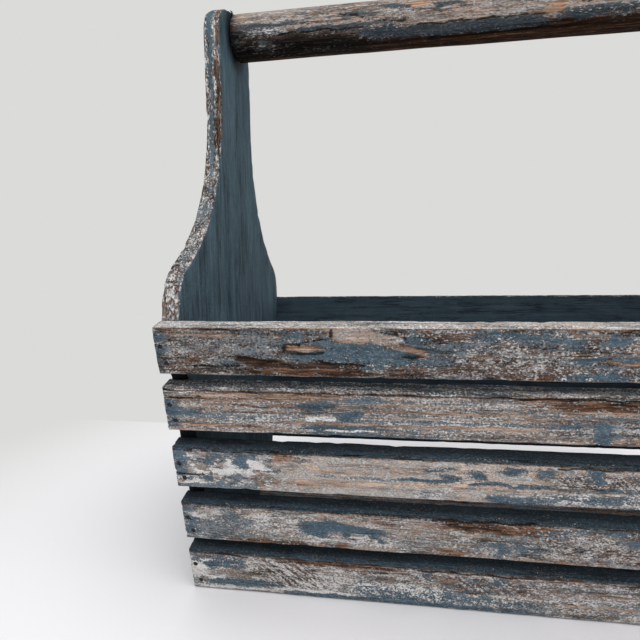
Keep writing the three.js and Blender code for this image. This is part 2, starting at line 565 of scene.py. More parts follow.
def carve_all(piece: Piece, reliefs: Sequence[Relief], grain: Grain, seed: float, stride: float) -> None:
    """Carves reliefs into a piece, each from its own place in the noise.

    Args:
        piece: The piece to carve.
        reliefs: The reliefs, in order.
        grain: The way that its grain runs.
        seed: Place in the noise of the first.
        stride: Distance in the noise from one to the next.
    """
    for step, relief in enumerate(reliefs):
        relief.carve(piece, grain, seed + step * stride)


def vertex_points(piece: Piece) -> Array:
    """Reads the points of a piece, one in a row."""
    points = np.empty(len(piece.data.vertices) * 3)
    piece.data.vertices.foreach_get("co", points)
    return points.reshape(-1, 3)


def mark_arrises(piece: Piece, distance: Callable[[Array], Array], reach: float) -> None:
    """Weights the points of a piece by how near they are to its arrises.

    Args:
        piece: The piece to mark.
        distance: Gives each point's distance from the nearest arris.
        reach: Distance at which the weight has faded out.
    """
    weights = np.clip(1.0 - distance(vertex_points(piece)) / reach, 0.0, 1.0)
    group = piece.vertex_groups.new(name=ARRIS_GROUP)
    for index in np.flatnonzero(weights > 0.0):
        group.add([int(index)], float(weights[index]), "REPLACE")


def rise(low: float, high: float, values: Array) -> Array:
    """Eases values from 0 at a low bound to 1 at a high bound."""
    share = np.clip((values - low) / (high - low), 0.0, 1.0)
    return share * share * (3.0 - 2.0 * share)


def fade(distance: Array, width: float) -> Array:
    """Fades from 1 at no distance to nearly 0 at twice a width."""
    return np.exp(-np.square(distance / width))


def wave(places: Array, size: float, length: float, start: Union[float, Array] = 0.0) -> Array:
    """Gives a wave of a size and length in millimetres, in metres, at places."""
    return size * MM * np.sin(FULL_TURN * places / (length * MM) + start)


def waver(along: Array, down: Array) -> tuple[Array, Array]:
    """Wavers places on a face, so that a patch on it has no even outline.

    Args:
        along: Places along the face.
        down: Places down the face.

    Returns:
        The wavered places, along and down.
    """
    drift = wave(down, size=1.5, length=8.3, start=0.7) + wave(along, size=1.0, length=12.1)
    sway = wave(along, size=0.5, length=23.0, start=1.3) + wave(along + down, size=0.3, length=6.7)
    return along + drift, down + sway


def line_distance(along: Array, down: Array, line: Crack) -> Array:
    """Gives the distance of places on a face from a crooked line.

    Args:
        along: Places along the face.
        down: Places down the face.
        line: Corners of the line, along and down, in millimetres.

    Returns:
        The distances.
    """
    nearest = np.full(len(along), np.inf)
    for (left, upper), (right, lower) in zip(line, line[1:]):
        run = (right - left) * MM
        fall = (lower - upper) * MM
        past = along - left * MM
        below = down - upper * MM
        share = np.clip((past * run + below * fall) / (run * run + fall * fall), 0.0, 1.0)
        nearest = np.minimum(nearest, np.hypot(past - share * run, below - share * fall))
    return nearest


def lay(worn: dict[str, Array], share: Array, targets: Mapping[str, Union[float, Array]]) -> None:
    """Moves values of the wear towards targets, by a share at each place."""
    for name, target in targets.items():
        worn[name] += share * (target - worn[name])


def pack_corners(*values: Union[Array, float]) -> Array:
    """Sets four values side by side for every corner."""
    return np.stack(np.broadcast_arrays(*values), axis=1)


def dress_corners(piece: Piece, rule: WearRule) -> None:
    """Stores on every corner how the finish has worn there.

    Args:
        piece: The piece to mark.
        rule: Gives wear, habit and marks, four values each, from corner points and face normals.
    """
    mesh = piece.data
    vertex_of = np.empty(len(mesh.loops), dtype=np.int32)
    mesh.loops.foreach_get("vertex_index", vertex_of)
    normals = np.empty(len(mesh.polygons) * 3)
    mesh.polygons.foreach_get("normal", normals)
    corners = np.empty(len(mesh.polygons), dtype=np.int32)
    mesh.polygons.foreach_get("loop_total", corners)
    corner_points = vertex_points(piece)[vertex_of]
    corner_normals = np.repeat(normals.reshape(-1, 3), corners, axis=0)
    for name, values in zip((WEAR, HABIT, MARKS), rule(corner_points, corner_normals)):
        layer = mesh.color_attributes.new(name=name, type="FLOAT_COLOR", domain="CORNER")
        layer.data.foreach_set("color", np.ascontiguousarray(values, dtype=np.float32).ravel())


def hand_over(
    piece: Piece,
    material: Material,
    nodes: Sequence[str],
) -> None:
    """Dresses a finished piece and ties it to the frame.

    Args:
        piece: The finished piece.
        material: Its material.
        nodes: Names of the frame's nodes that it stands for.
    """
    activate(piece)
    bpy.ops.object.shade_smooth_by_angle(angle=SMOOTH_ANGLE)
    piece.data.materials.clear()
    piece.data.materials.append(material)
    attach(piece, BODY)
    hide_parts(*nodes)
    LOG.info("%s: %d faces", piece.name, len(piece.data.polygons))


class NodeSheet:
    """A node tree that is being laid out."""

    def __init__(self, tree: Tree) -> None:
        """Keeps the tree to lay out."""
        self.tree = tree

    def node(
        self,
        kind: str,
        settings: Mapping[str, object] | None = None,
        inputs: Mapping[Union[int, str], Input] | None = None,
    ) -> bpy.types.Node:
        """Adds a node, sets its properties and fills its inputs.

        Args:
            kind: Blender's name of the node type.
            settings: Values of the node's properties.
            inputs: Values or other nodes' outputs for its inputs.

        Returns:
            The new node.
        """
        node = self.tree.nodes.new(kind)
        for key, value in (settings or {}).items():
            setattr(node, key, value)
        for key, value in (inputs or {}).items():
            self.put(node.inputs[key], value)
        return node

    def put(self, socket: Socket, value: Input) -> None:
        """Wires an output to a socket, or sets the socket's own value."""
        if isinstance(value, Socket):
            self.tree.links.new(value, socket)
        else:
            socket.default_value = value

    def math(
        self,
        operation: str,
        first: Input,
        second: Input = 0.0,
        third: Input = 0.0,
    ) -> Socket:
        """Adds a sum of up to three values and gives its result."""
        inputs = {0: first, 1: second, 2: third}
        return self.node("ShaderNodeMath", {"operation": operation}, inputs).outputs[0]

    def remap(
        self,
        value: Input,
        low: float,
        high: float,
        start: float = 0.0,
        stop: float = 1.0,
    ) -> Socket:
        """Eases a value from one range to another and gives the result."""
        inputs = {"Value": value, "From Min": low, "From Max": high, "To Min": start, "To Max": stop}
        settings = {"interpolation_type": "SMOOTHSTEP", "clamp": True}
        return self.node("ShaderNodeMapRange", settings, inputs).outputs[0]

    def mix(self, factor: Input, first: Input, second: Input) -> Socket:
        """Mixes two values and gives the result."""
        inputs = {0: factor, 2: first, 3: second}
        return self.node("ShaderNodeMix", {"data_type": "FLOAT"}, inputs).outputs[0]

    def tint(self, factor: Input, first: Input, second: Input, way: str = "MIX") -> Socket:
        """Mixes two colours and gives the result."""
        settings = {"data_type": "RGBA", "blend_type": way}
        return self.node("ShaderNodeMix", settings, {0: factor, 6: first, 7: second}).outputs[2]

    def ramp(self, value: Input, stops: Sequence[tuple[float, Colour]]) -> Socket:
        """Adds a colour ramp.

        Args:
            value: Where to read the ramp.
            stops: Places and colours along it.

        Returns:
            The colour output.
        """
        node = self.node("ShaderNodeValToRGB", None, {0: value})
        elements = node.color_ramp.elements
        while len(elements) < len(stops):
            elements.new(1.0)
        for element, (place, colour) in zip(elements, stops):
            element.position = place
            element.color = colour
        return node.outputs[0]

    def weigh(self, *parts: tuple[Input, float]) -> Socket:
        """Adds up values, each by its weight."""
        total: Input = 0.0
        for value, weight in parts:
            total = self.math("MULTIPLY_ADD", value, weight, total)
        return total

    def combine(self, operation: str, first: Input, second: Input) -> Socket:
        """Adds a sum of two vectors and gives its result."""
        inputs = {0: first, 1: second}
        return self.node("ShaderNodeVectorMath", {"operation": operation}, inputs).outputs[0]

    def moved(self, vector: Input, place: Sequence[float], turn: Sequence[float] = (0, 0, 0)) -> Socket:
        """Turns coordinates and moves them."""
        inputs = {"Vector": vector, "Location": place, "Rotation": turn}
        return self.node("ShaderNodeMapping", None, inputs).outputs[0]

    def corner_values(self, name: str) -> tuple[Socket, ...]:
        """Reads the four values of a corner attribute."""
        stored = self.node("ShaderNodeAttribute", {"attribute_name": name}).outputs
        parts = self.node("ShaderNodeSeparateColor", None, {0: stored["Color"]}).outputs
        return (parts[0], parts[1], parts[2], stored["Alpha"])

    def bump(self, height: Input, depth: float, strength: float = 1.0) -> Socket:
        """Turns a height into a bumpy normal."""
        inputs = {"Strength": strength, "Distance": depth, "Height": height}
        return self.node("ShaderNodeBump", None, inputs).outputs[0]

    def group(self, tree: Tree, inputs: Mapping[str, Input]) -> Mapping[str, Socket]:
        """Places a node group, fills its inputs and gives its outputs."""
        return self.node("ShaderNodeGroup", {"node_tree": tree}, inputs).outputs

    def close_group(self, results: Mapping[str, Socket]) -> Tree:
        """Gives the node group on this sheet its outputs.

        Args:
            results: Names of the outputs, and what they put out.

        Returns:
            The finished group.
        """
        for label, socket in results.items():
            kind = COLOUR if socket.type == "RGBA" else FLOAT
            self.tree.interface.new_socket(label, in_out="OUTPUT", socket_type=kind)
        self.node("NodeGroupOutput", None, results)
        return self.tree


def new_group(
    name: str,
    floats: Sequence[str] = (),
    colours: Sequence[str] = (),
    vectors: Sequence[str] = ("Vector",),
) -> tuple[NodeSheet, Mapping[str, Socket]]:
    """Starts a shader node group.

    Args:
        name: Name of the group.
        floats: Names of its inputs that take values.
        colours: Names of its inputs that take colours.
        vectors: Names of its inputs that take coordinates.

    Returns:
        The sheet to lay it out on, and what its inputs give.
    """
    tree = bpy.data.node_groups.new(name, "ShaderNodeTree")
    for kind, labels in ((VECTOR, vectors), (FLOAT, floats), (COLOUR, colours)):
        for label in labels:
            tree.interface.new_socket(label, in_out="INPUT", socket_type=kind)
    sheet = NodeSheet(tree)
    return sheet, sheet.node("NodeGroupInput").outputs


def new_material(name: str) -> tuple[Material, NodeSheet, bpy.types.Node]:
    """Starts a material.

    Args:
        name: Name of the material.

    Returns:
        The material, the sheet to lay it out on, and its shader.
    """
    material = bpy.data.materials.new(name)
    material.use_nodes = True
    return material, NodeSheet(material.node_tree), material.node_tree.nodes["Principled BSDF"]


@dataclass(frozen=True)
class GrainMarks:
    """The marks of a noise that follows the grain."""

    along: float  # marks in a metre along the grain
    across: float  # marks in a metre across it
    detail: float = 5.0  # octaves of the noise
    low: float = 0.3  # noise that becomes 0
    high: float = 0.7  # noise that becomes 1


GRIT = GrainMarks(860.0, 1200.0, 2.0, 0.28, 0.72)
FLECKS = GrainMarks(230.0, 420.0)
BLOTCHES = GrainMarks(34.0, 110.0, 7.0)
WORN_LINES = GrainMarks(11.0, 480.0)
SAW_KERFS = GrainMarks(26.0, 620.0, 4.0, 0.36, 0.64)
WHITE_CLOUDS = GrainMarks(130.0, 320.0, 6.0)
FROST = GrainMarks(760.0, 1120.0, 2.0, 0.28, 0.72)
WHITE_LINES = GrainMarks(13.0, 430.0)
PIT_HOLES = GrainMarks(520.0, 1000.0, 3.0, 0.28, 0.72)
PIT_ZONES = GrainMarks(30.0, 90.0, 4.0)
RINGS = GrainMarks(8.0, 300.0)
FIBRES = GrainMarks(90.0, 800.0, 4.0)
SAPWOOD = GrainMarks(7.0, 210.0, 4.0, 0.54, 0.62)
FINE_STROKES = GrainMarks(12.0, 420.0)
BROAD_STROKES = GrainMarks(5.0, 120.0, 4.0)
PAINT_CLOUDS = GrainMarks(40.0, 90.0, 6.0)
PAINT_SPECKS = GrainMarks(700.0, 1000.0, 2.0, 0.5, 0.74)
SPLIT_COURSES = GrainMarks(13.0, 190.0, 4.0)
SPLIT_BREAKS = GrainMarks(34.0, 80.0, 3.0, 0.47, 0.6)
RUST_BLOTS = GrainMarks(700.0, 700.0)
RUST_PITS = GrainMarks(2400.0, 2400.0, 3.0)

NOISE_ROUGHNESS = 0.62
FLAKE_SPREAD = (135.0, 225.0, 225.0)  # flakes in a metre along, across and through the grain
FLAKE_TEAR = 0.004
SAW_TURN = (0.0, math.radians(-40.0), 0.0)
CHALK_PLACE = (0.37, 0.21, 0.43)  # elsewhere in the noise, so that chalk and paint wear apart
PIT_PLACE = (0.83, 0.57, 0.19)
SAP_STRENGTH = 0.5
SPLIT_WIDTH = (0.085, 0.01)
FIELD_RANGE = (0.22, 0.78)  # of the wear field's noises, spread to 0 and 1
LIME_RANGE = (0.2, 0.8)  # the same for the chalk's
PIT_LEVELS = (0.38, 0.25)  # noise at which pits set in and are full
ARRIS_TEAR = (0.8, -0.4)  # how chips tear the border of a worn arris: share and shift
ARRIS_BORDER = (0.4, 0.6)
ARRIS_PAINT = -1.2  # paint that a worn arris adds
PAINT_BORDER = (-0.06, 0.06)
BROKEN_BORDER = (-0.18, -0.05)  # dark rim outside the paint: dirt along the broken paint's edge and painted shade of its step
CHALK_BORDER = (-0.14, 0.14)
CHALK_RANGE = (0.0, 0.85)
GRAIN_CONTRAST = 0.8  # how far the grain moves the wood's tone


class WoodGroups:
    """The shader effects that the caddy's wooden pieces share."""

    def __init__(self) -> None:
        """Builds every group once."""
        self.grain_noise = self._grain_noise()
        self.wear_field = self._wear_field()
        self.pits = self._pits()
        self.coat_layers = self._coat_layers()
        self.bare_wood = self._bare_wood()
        self.brushed_coat = self._brushed_coat()
        self.split_lines = self._split_lines()

    def _grain_noise(self) -> Tree:
        """Builds noise whose marks have their own length along and across the grain."""
        sheet, given = new_group("grain noise", ("Along", "Across", "Detail", "Low", "High"))
        lengths = {0: given["Along"], 1: given["Across"], 2: given["Across"]}
        spread = sheet.node("ShaderNodeCombineXYZ", None, lengths).outputs[0]
        settings = {
            "Vector": sheet.combine("MULTIPLY", given["Vector"], spread),
            "Scale": 1.0,
            "Detail": given["Detail"],
            "Roughness": NOISE_ROUGHNESS,
        }
        noise = sheet.node("ShaderNodeTexNoise", None, settings).outputs[0]
        limits = {"Value": noise, "From Min": given["Low"], "From Max": given["High"]}
        value = sheet.node("ShaderNodeMapRange", {"clamp": True}, limits).outputs[0]
        return sheet.close_group({"Value": value})

    def noise(self, sheet: NodeSheet, vector: Input, marks: GrainMarks) -> Socket:
        """Places grain noise on a sheet.

        Args:
            sheet: The sheet to place it on.
            vector: Coordinates with the grain along X.
            marks: The marks that it has.

        Returns:
            The value output.
        """
        inputs = {name.title(): value for name, value in asdict(marks).items()}
        return sheet.group(self.grain_noise, inputs | {"Vector": vector})["Value"]

    def _flake_cells(self, sheet: NodeSheet, vector: Input, ragged: Input) -> Socket:
        """Lays angular flakes, each with a level of its own.

        Args:
            sheet: The sheet to lay them on.
            vector: Coordinates with the grain along X.
            ragged: Noise that tears their outlines.

        Returns:
            The level at each place.
        """
        tear = sheet.math("MULTIPLY", ragged, FLAKE_TEAR)
        push = sheet.node("ShaderNodeCombineXYZ", None, {0: tear, 1: tear, 2: tear}).outputs[0]
        spread = sheet.combine("MULTIPLY", sheet.combine("ADD", vector, push), FLAKE_SPREAD)
        cells = sheet.node("ShaderNodeTexVoronoi", None, {"Vector": spread, "Scale": 1.0})
        return sheet.node("ShaderNodeSeparateColor", None, {0: cells.outputs["Color"]}).outputs[0]

    def _wear_field(self) -> Tree:
        """Builds the field that says where paint wears off first, with noises for the other coats."""
        sheet, given = new_group("wear field", ("Streaks", "Flakes", "Saw Marks"))
        vector = given["Vector"]
        grit = self.noise(sheet, vector, GRIT)
        flecks = self.noise(sheet, vector, FLECKS)
        blotches = self.noise(sheet, vector, BLOTCHES)
        lines = self.noise(sheet, vector, WORN_LINES)
        kerfs = self.noise(sheet, sheet.moved(vector, (0, 0, 0), SAW_TURN), SAW_KERFS)
        chips = self._flake_cells(sheet, vector, flecks)
        speckled = sheet.weigh((blotches, 0.34), (flecks, 0.28), (grit, 0.38))
        flaked = sheet.weigh((chips, 0.5), (flecks, 0.18), (blotches, 0.12), (grit, 0.2))
        streaked = sheet.weigh((lines, 0.42), (flecks, 0.18), (blotches, 0.12), (grit, 0.28))
        sawn = sheet.weigh((kerfs, 0.6), (flecks, 0.2), (grit, 0.2))
        field = sheet.mix(given["Flakes"], speckled, flaked)
        field = sheet.mix(given["Streaks"], field, streaked)
        field = sheet.mix(given["Saw Marks"], field, sawn)

        elsewhere = sheet.moved(vector, CHALK_PLACE)
        white = self.noise(sheet, elsewhere, WHITE_CLOUDS)
        frost = self.noise(sheet, elsewhere, FROST)
        white_cells = self._flake_cells(sheet, elsewhere, white)
        lined_lime = sheet.weigh((self.noise(sheet, elsewhere, WHITE_LINES), 0.5), (frost, 0.5))
        flaked_lime = sheet.weigh((white_cells, 0.55), (white, 0.2), (frost, 0.25))
        sawn_lime = sheet.weigh((kerfs, -0.56), (frost, 0.44), (0.56, 1.0))
        lime = sheet.mix(given["Streaks"], sheet.weigh((white, 0.42), (frost, 0.58)), lined_lime)
        lime = sheet.mix(given["Flakes"], lime, flaked_lime)
        lime = sheet.mix(given["Saw Marks"], lime, sawn_lime)
        results = {
            "Field": sheet.remap(field, *FIELD_RANGE),
            "Grit": grit,
            "Lime": sheet.remap(lime, *LIME_RANGE),
            "Chips": sheet.weigh((chips, 0.4), (flecks, 0.6)),
        }
        return sheet.close_group(results)

    def _pits(self) -> Tree:
        """Builds the dark pits that dirt has filled."""
        sheet, given = new_group("pits")
        elsewhere = sheet.moved(given["Vector"], PIT_PLACE)
        holes = self.noise(sheet, elsewhere, PIT_HOLES)
        zones = self.noise(sheet, elsewhere, PIT_ZONES)
        level = sheet.weigh((holes, 0.7), (zones, 0.3))
        return sheet.close_group({"Mask": sheet.remap(level, *PIT_LEVELS)})

    def _coat_layers(self) -> Tree:
        """Builds the masks of the coats that are left on the wood."""
        values = ("Field", "Lime", "Grit", "Chips", "Paint", "Chalk", "Arris")
        sheet, given = new_group("coat layers", values, vectors=())
        ragged = sheet.math("MULTIPLY_ADD", given["Chips"], *ARRIS_TEAR)
        arris = sheet.remap(sheet.math("ADD", given["Arris"], ragged), *ARRIS_BORDER)
        kept = sheet.math("SUBTRACT", 1.0, arris)
        paint = sheet.math("MULTIPLY_ADD", arris, ARRIS_PAINT, given["Paint"])
        over = sheet.math("SUBTRACT", paint, given["Field"])
        paint_mask = sheet.remap(over, *PAINT_BORDER)
        off_paint = sheet.math("SUBTRACT", 1.0, paint_mask)
        # The broken edge is a dark rim outside the paint: dirt along the broken edge and painted shade of
        # the paint's step.
        broken = sheet.math("MULTIPLY", sheet.remap(over, *BROKEN_BORDER), off_paint)
        chalk = sheet.math("MULTIPLY", given["Chalk"], kept)
        lime = sheet.weigh((chalk, 1.25), (broken, 0.1), (given["Lime"], -1.0))
        depth = sheet.weigh((lime, 0.9), (given["Grit"], 0.4))
        results = {
            "Paint Mask": paint_mask,
            "Chalk Mask": sheet.remap(lime, *CHALK_BORDER),
            "Chalk Depth": sheet.remap(depth, *CHALK_RANGE),
            "Broken Edge": broken,
        }
        return sheet.close_group(results)

    def _bare_wood(self) -> Tree:
        """Builds bare wood from dark stained brown to bleached cream, with its grain."""
        sheet, given = new_group("bare wood", ("Tone",))
        vector = given["Vector"]
        rings = self.noise(sheet, vector, RINGS)
        grain = sheet.weigh((rings, 0.45), (self.noise(sheet, vector, FIBRES), 0.55))
        base = sheet.math("SUBTRACT", given["Tone"], GRAIN_CONTRAST / 2)
        age = sheet.math("MULTIPLY_ADD", grain, GRAIN_CONTRAST, base)
        sap = sheet.math("MULTIPLY", self.noise(sheet, vector, SAPWOOD), SAP_STRENGTH)
        colour = sheet.tint(sap, sheet.ramp(age, WOOD_TONES), SAP_TINT, "MULTIPLY")
        return sheet.close_group({"Color": colour, "Height": grain})

    def _brushed_coat(self) -> Tree:
        """Builds a coat of paint with brush streaks and pale specks."""
        sheet, given = new_group("brushed coat", ("Specks", "Broad"), ("Shade", "Body", "Dust"))
        vector = given["Vector"]
        fine = self.noise(sheet, vector, FINE_STROKES)
        broad = self.noise(sheet, vector, BROAD_STROKES)
        strokes = sheet.mix(given["Broad"], fine, broad)
        depth = sheet.weigh((strokes, 0.55), (self.noise(sheet, vector, PAINT_CLOUDS), 0.45))
        coat = sheet.tint(depth, given["Shade"], given["Body"])
        dusty = sheet.math("MULTIPLY", self.noise(sheet, vector, PAINT_SPECKS), given["Specks"])
        return sheet.close_group({"Color": sheet.tint(dusty, coat, given["Dust"])})

    def _split_lines(self) -> Tree:
        """Builds thin dark splits that follow the grain."""
        sheet, given = new_group("split lines")
        course = self.noise(sheet, given["Vector"], SPLIT_COURSES)
        off_line = sheet.math("ABSOLUTE", sheet.math("SUBTRACT", course, 0.5))
        breaks = self.noise(sheet, given["Vector"], SPLIT_BREAKS)
        mask = sheet.math("MULTIPLY", sheet.remap(off_line, *SPLIT_WIDTH), breaks)
        return sheet.close_group({"Mask": mask})


CHALK_TONES = (
    (0.0, tone(118, 114, 111)),
    (0.4, tone(156, 153, 151)),
    (0.75, tone(188, 186, 184)),
    (1.0, tone(222, 220, 218)),
)
WOOD_TONES = (
    (0.0, tone(30, 27, 25)),
    (0.2, tone(56, 48, 43)),
    (0.38, tone(92, 74, 63)),
    (0.56, tone(150, 128, 112)),
    (0.76, tone(190, 173, 161)),
    (1.0, tone(214, 200, 188)),
)
SAP_TINT = (1.0, 0.76, 0.55, 1.0)
RUST_TINT = (1.0, 0.7, 0.49, 1.0)


@dataclass(frozen=True)
class WornPaint:
    """Slate-blue paint over chalky undercoat over bare wood, worn through to each."""

    name: str
    grain: Grain
    offset: tuple[float, float, float] = (0.0, 0.0, 0.0)
    marks_scale: tuple[float, float, float] = (1.0, 1.0, 1.0)  # along, across and through the grain
    paint_shade: Colour = tone(49, 68, 80)
    paint_body: Colour = tone(91, 112, 126)
    paint_dust: Colour = tone(158, 164, 168)
    split_dark: Colour = tone(26, 22, 20)
    edge_dark: Colour = tone(52, 42, 36)
    # tint for grime and painted shade
    grime_and_shade: Colour = tone(52, 58, 62)
    film: Colour = tone(184, 180, 177)
    specks: float = 0.6
    broad_strokes: float = 0.0  # share of wide brush strokes among the fine ones
    roughness: tuple[float, float] = (0.94, 0.78)  # of bare wood and of paint
    specular: float = 0.1
    bump_depth: float = 0.0013
    speck_fade: tuple[float, float] = (0.95, 1.15)  # paint over which the specks fade on whole paint
    speck_rest: float = 0.2  # share of the specks that whole paint keeps
    edge_strength: tuple[float, float] = (0.65, 0.34)  # dark rim round paint, dirt and painted shade of its step, on wood and on chalk
    pit_strength: float = 0.85
    soft_wood: Span = (0.35, 0.95, 1.0, 0.35)  # tone of the wood, and how far pits and splits show in it
    split_strength: tuple[float, float] = (0.85, 0.4)  # on bare wood and in paint
    crack_edge: Span = (0.92, 1.02, 0.0, 0.88)  # nearness to a crack, and how dark it is
    film_break: Span = (0.2, 0.8, 1.7, 0.05)  # noise that breaks the pale film, and its strength
    soiling_and_shade: tuple[float, float] = (0.65, 1.0)  # share of the grime and painted shade on bare wood and on paint

    def material(self, groups: WoodGroups) -> Material:
        """Builds the material.

        Args:
            groups: The shared wood effects.

        Returns:
            The new material.
        """
        material, sheet, shader = new_material(self.name)
        where = sheet.node("ShaderNodeTexCoord").outputs["Object"]
        turned = sheet.moved(where, self.offset, self.grain.value)
        laid = sheet.combine("MULTIPLY", turned, self.marks_scale)
        paint, chalk, bare, arris = sheet.corner_values(WEAR)
        streaks, flakes, saw_marks, grime_and_shade = sheet.corner_values(HABIT)
        rust, near_crack, haze = sheet.corner_values(MARKS)[:3]

        habits = {"Streaks": streaks, "Flakes": flakes, "Saw Marks": saw_marks}
        field = sheet.group(groups.wear_field, {"Vector": laid} | habits)
        noises = {name: field[name] for name in ("Field", "Lime", "Grit", "Chips")}
        layers = sheet.group(groups.coat_layers, noises | {"Paint": paint, "Chalk": chalk, "Arris": arris})
        wood = sheet.group(groups.bare_wood, {"Vector": laid, "Tone": bare})
        brushed = {
            "Vector": laid,
            "Shade": self.paint_shade,
            "Body": self.paint_body,
            "Dust": self.paint_dust,
            "Specks": sheet.remap(paint, *self.speck_fade, self.specks, self.speck_rest * self.specks),
            "Broad": self.broad_strokes,
        }
        coat = sheet.group(groups.brushed_coat, brushed)["Color"]
        paint_mask = layers["Paint Mask"]
        chalk_mask = layers["Chalk Mask"]

        soft_wood = sheet.remap(bare, *self.soft_wood)
        edge = sheet.math("MULTIPLY", layers["Broken Edge"], sheet.mix(chalk_mask, *self.edge_strength))
        pits = sheet.group(groups.pits, {"Vector": laid})["Mask"]
        pits = sheet.math("MULTIPLY", pits, sheet.math("MULTIPLY", soft_wood, self.pit_strength))
        splits = sheet.group(groups.split_lines, {"Vector": laid})["Mask"]
        open_splits = sheet.math("MULTIPLY", sheet.mix(paint_mask, *self.split_strength), soft_wood)
        open_splits = sheet.math("MULTIPLY", splits, open_splits)
        torn = sheet.weigh((near_crack, 1.0), (field["Grit"], 0.16), (field["Chips"], 0.1))
        crack = sheet.remap(torn, *self.crack_edge)
        thin = sheet.weigh((field["Lime"], 0.6), (field["Grit"], 0.4))
        film = sheet.math("MULTIPLY", haze, sheet.remap(thin, *self.film_break))
        # Grime and painted shade from the corners, multiplied in last.
        grime_and_shade_share = sheet.math("MULTIPLY", grime_and_shade, sheet.mix(paint_mask, *self.soiling_and_shade))

        colour = sheet.tint(rust, wood["Color"], RUST_TINT, "MULTIPLY")
        colour = sheet.tint(chalk_mask, colour, sheet.ramp(layers["Chalk Depth"], CHALK_TONES))
        colour = sheet.tint(sheet.math("MAXIMUM", edge, pits), colour, self.edge_dark)
        colour = sheet.tint(paint_mask, colour, coat)
        colour = sheet.tint(film, colour, self.film)
        colour = sheet.tint(sheet.math("MAXIMUM", open_splits, crack), colour, self.split_dark)
        colour = sheet.tint(grime_and_shade_share, colour, self.grime_and_shade, "MULTIPLY")
        height = sheet.weigh(
            (wood["Height"], 0.25),
            (paint_mask, 0.3),
            (chalk_mask, 0.25),
            (field["Grit"], 0.2),
            (splits, -0.6),
            (crack, -0.6),
        )
        sheet.put(shader.inputs["Base Color"], colour)
        sheet.put(shader.inputs["Roughness"], sheet.remap(paint_mask, 0.0, 1.0, *self.roughness))
        sheet.put(shader.inputs["Normal"], sheet.bump(height, self.bump_depth))
        sheet.put(shader.inputs["Specular IOR Level"], self.specular)
        return material


@dataclass(frozen=True)
class RustedSteel:
    """Old steel, browned by rust."""

    name: str
    bright: Colour
    rust: Colour
    rust_share: float
    shine: float
    rust_border: float = 0.1  # half the width of the change from bright to rusty
    metal: tuple[float, float] = (0.9, 0.15)  # of bright steel and of rust
    rust_roughness: float = 0.85
    pit_depth: float = 0.0001
    pit_strength: float = 0.5

    def material(self, groups: WoodGroups) -> Material:
        """Builds the material.

        Args:
            groups: The shared effects, for their noise.

        Returns:
            The new material.
        """
        material, sheet, shader = new_material(self.name)
        where = sheet.node("ShaderNodeTexCoord").outputs["Object"]
        bright_share = 1.0 - self.rust_share
        blots = groups.noise(sheet, where, RUST_BLOTS)
        mask = sheet.remap(blots, bright_share - self.rust_border, bright_share + self.rust_border)
        pits = groups.noise(sheet, where, RUST_PITS)
        sheet.put(shader.inputs["Base Color"], sheet.tint(mask, self.bright, self.rust))
        sheet.put(shader.inputs["Metallic"], sheet.remap(mask, 0.0, 1.0, *self.metal))
        sheet.put(shader.inputs["Roughness"], sheet.remap(mask, 0.0, 1.0, self.shine, self.rust_roughness))
        sheet.put(shader.inputs["Normal"], sheet.bump(pits, self.pit_depth, self.pit_strength))
        return material


@dataclass(frozen=True)
class Patch:
    """A spot where the finish differs, in millimetres from the left end and from the top."""

    along: float
    down: float
    reach: float  # half its length along the grain
    span: float  # half its height
    paint: float | None = None  # None leaves what is there
    chalk: float | None = None
    tone: float | None = None
    rust: float | None = None
    flakes: float | None = None
    saw: float | None = None
    haze: float | None = None
    tilt: float = 0.0  # degrees, positive where its right end is lower
    soft: float = 0.35  # how far its edge fades in and out, as a share of its size

    def share(self, along: Array, down: Array) -> Array:
        """Gives how strongly the patch holds at points of the face."""
        turn = math.radians(self.tilt)
        run = along - self.along * MM
        fall = down - self.down * MM
        forward = np.abs(run * math.cos(turn) + fall * math.sin(turn)) / (self.reach * MM)
        sideways = np.abs(fall * math.cos(turn) - run * math.sin(turn)) / (self.span * MM)
        return 1.0 - rise(1.0 - self.soft, 1.0 + self.soft, np.cbrt(forward**3 + sideways**3))

    def targets(self) -> dict[str, float]:
        """Gives the values that it sets: whole paint and bare wood have no film unless it says so."""
        values = {name: getattr(self, name) for name in PATCH_VALUES}
        whole = self.paint is not None and self.paint >= WHOLE_PAINT
        bare = self.chalk is not None and self.chalk <= BARE_CHALK
        if self.haze is None and (whole or bare):
            values["haze"] = 0.0
        return {name: value for name, value in values.items() if value is not None}


PATCH_VALUES = ("paint", "chalk", "tone", "rust", "flakes", "saw", "haze")
WHOLE_PAINT = 0.7
BARE_CHALK = 0.2
CRACK_REACH = 0.0040


def lay_patches(
    worn: dict[str, Array],
    along: Array,
    down: Array,
    patches: Sequence[Patch],
    cracks: Sequence[Crack],
) -> Array:
    """Lays patches over the wear of a face, one on another, and its cracks.

    Args:
        worn: Values of the wear by name, which are changed.
        along: Places along the face.
        down: Places down the face.
        patches: The patches, in order.
        cracks: The cracks, each a crooked line in millimetres.

    Returns:
        How near each place is to a crack, 1 on it and 0 at its reach.
    """
    for patch in patches:
        lay(worn, patch.share(along, down), patch.targets())
    nearness = np.zeros(len(along))
    for crack in cracks:
        nearness = np.maximum(nearness, 1.0 - line_distance(along, down, crack) / CRACK_REACH)
    return nearness


@dataclass(frozen=True)
class FaceWear:
    """How a whole face has worn."""

    paint: float
    chalk: float
    tone: float


def blend_faces(faces: Sequence[tuple[Array, FaceWear]]) -> dict[str, Array]:
    """Blends the wear of faces by the share of each at every corner."""
    blend: dict[str, Array] = {}
    for share, face in faces:
        for name, value in asdict(face).items():
            blend[name] = blend.get(name, 0.0) + share * value
    return blend


KNOCKED = {"paint": 0.45, "chalk": 0.6, "flakes": 1.0}  # the ends of the slats
CHIPPED = {"paint": 0.6, "chalk": 0.6}  # the inner arris of the rim


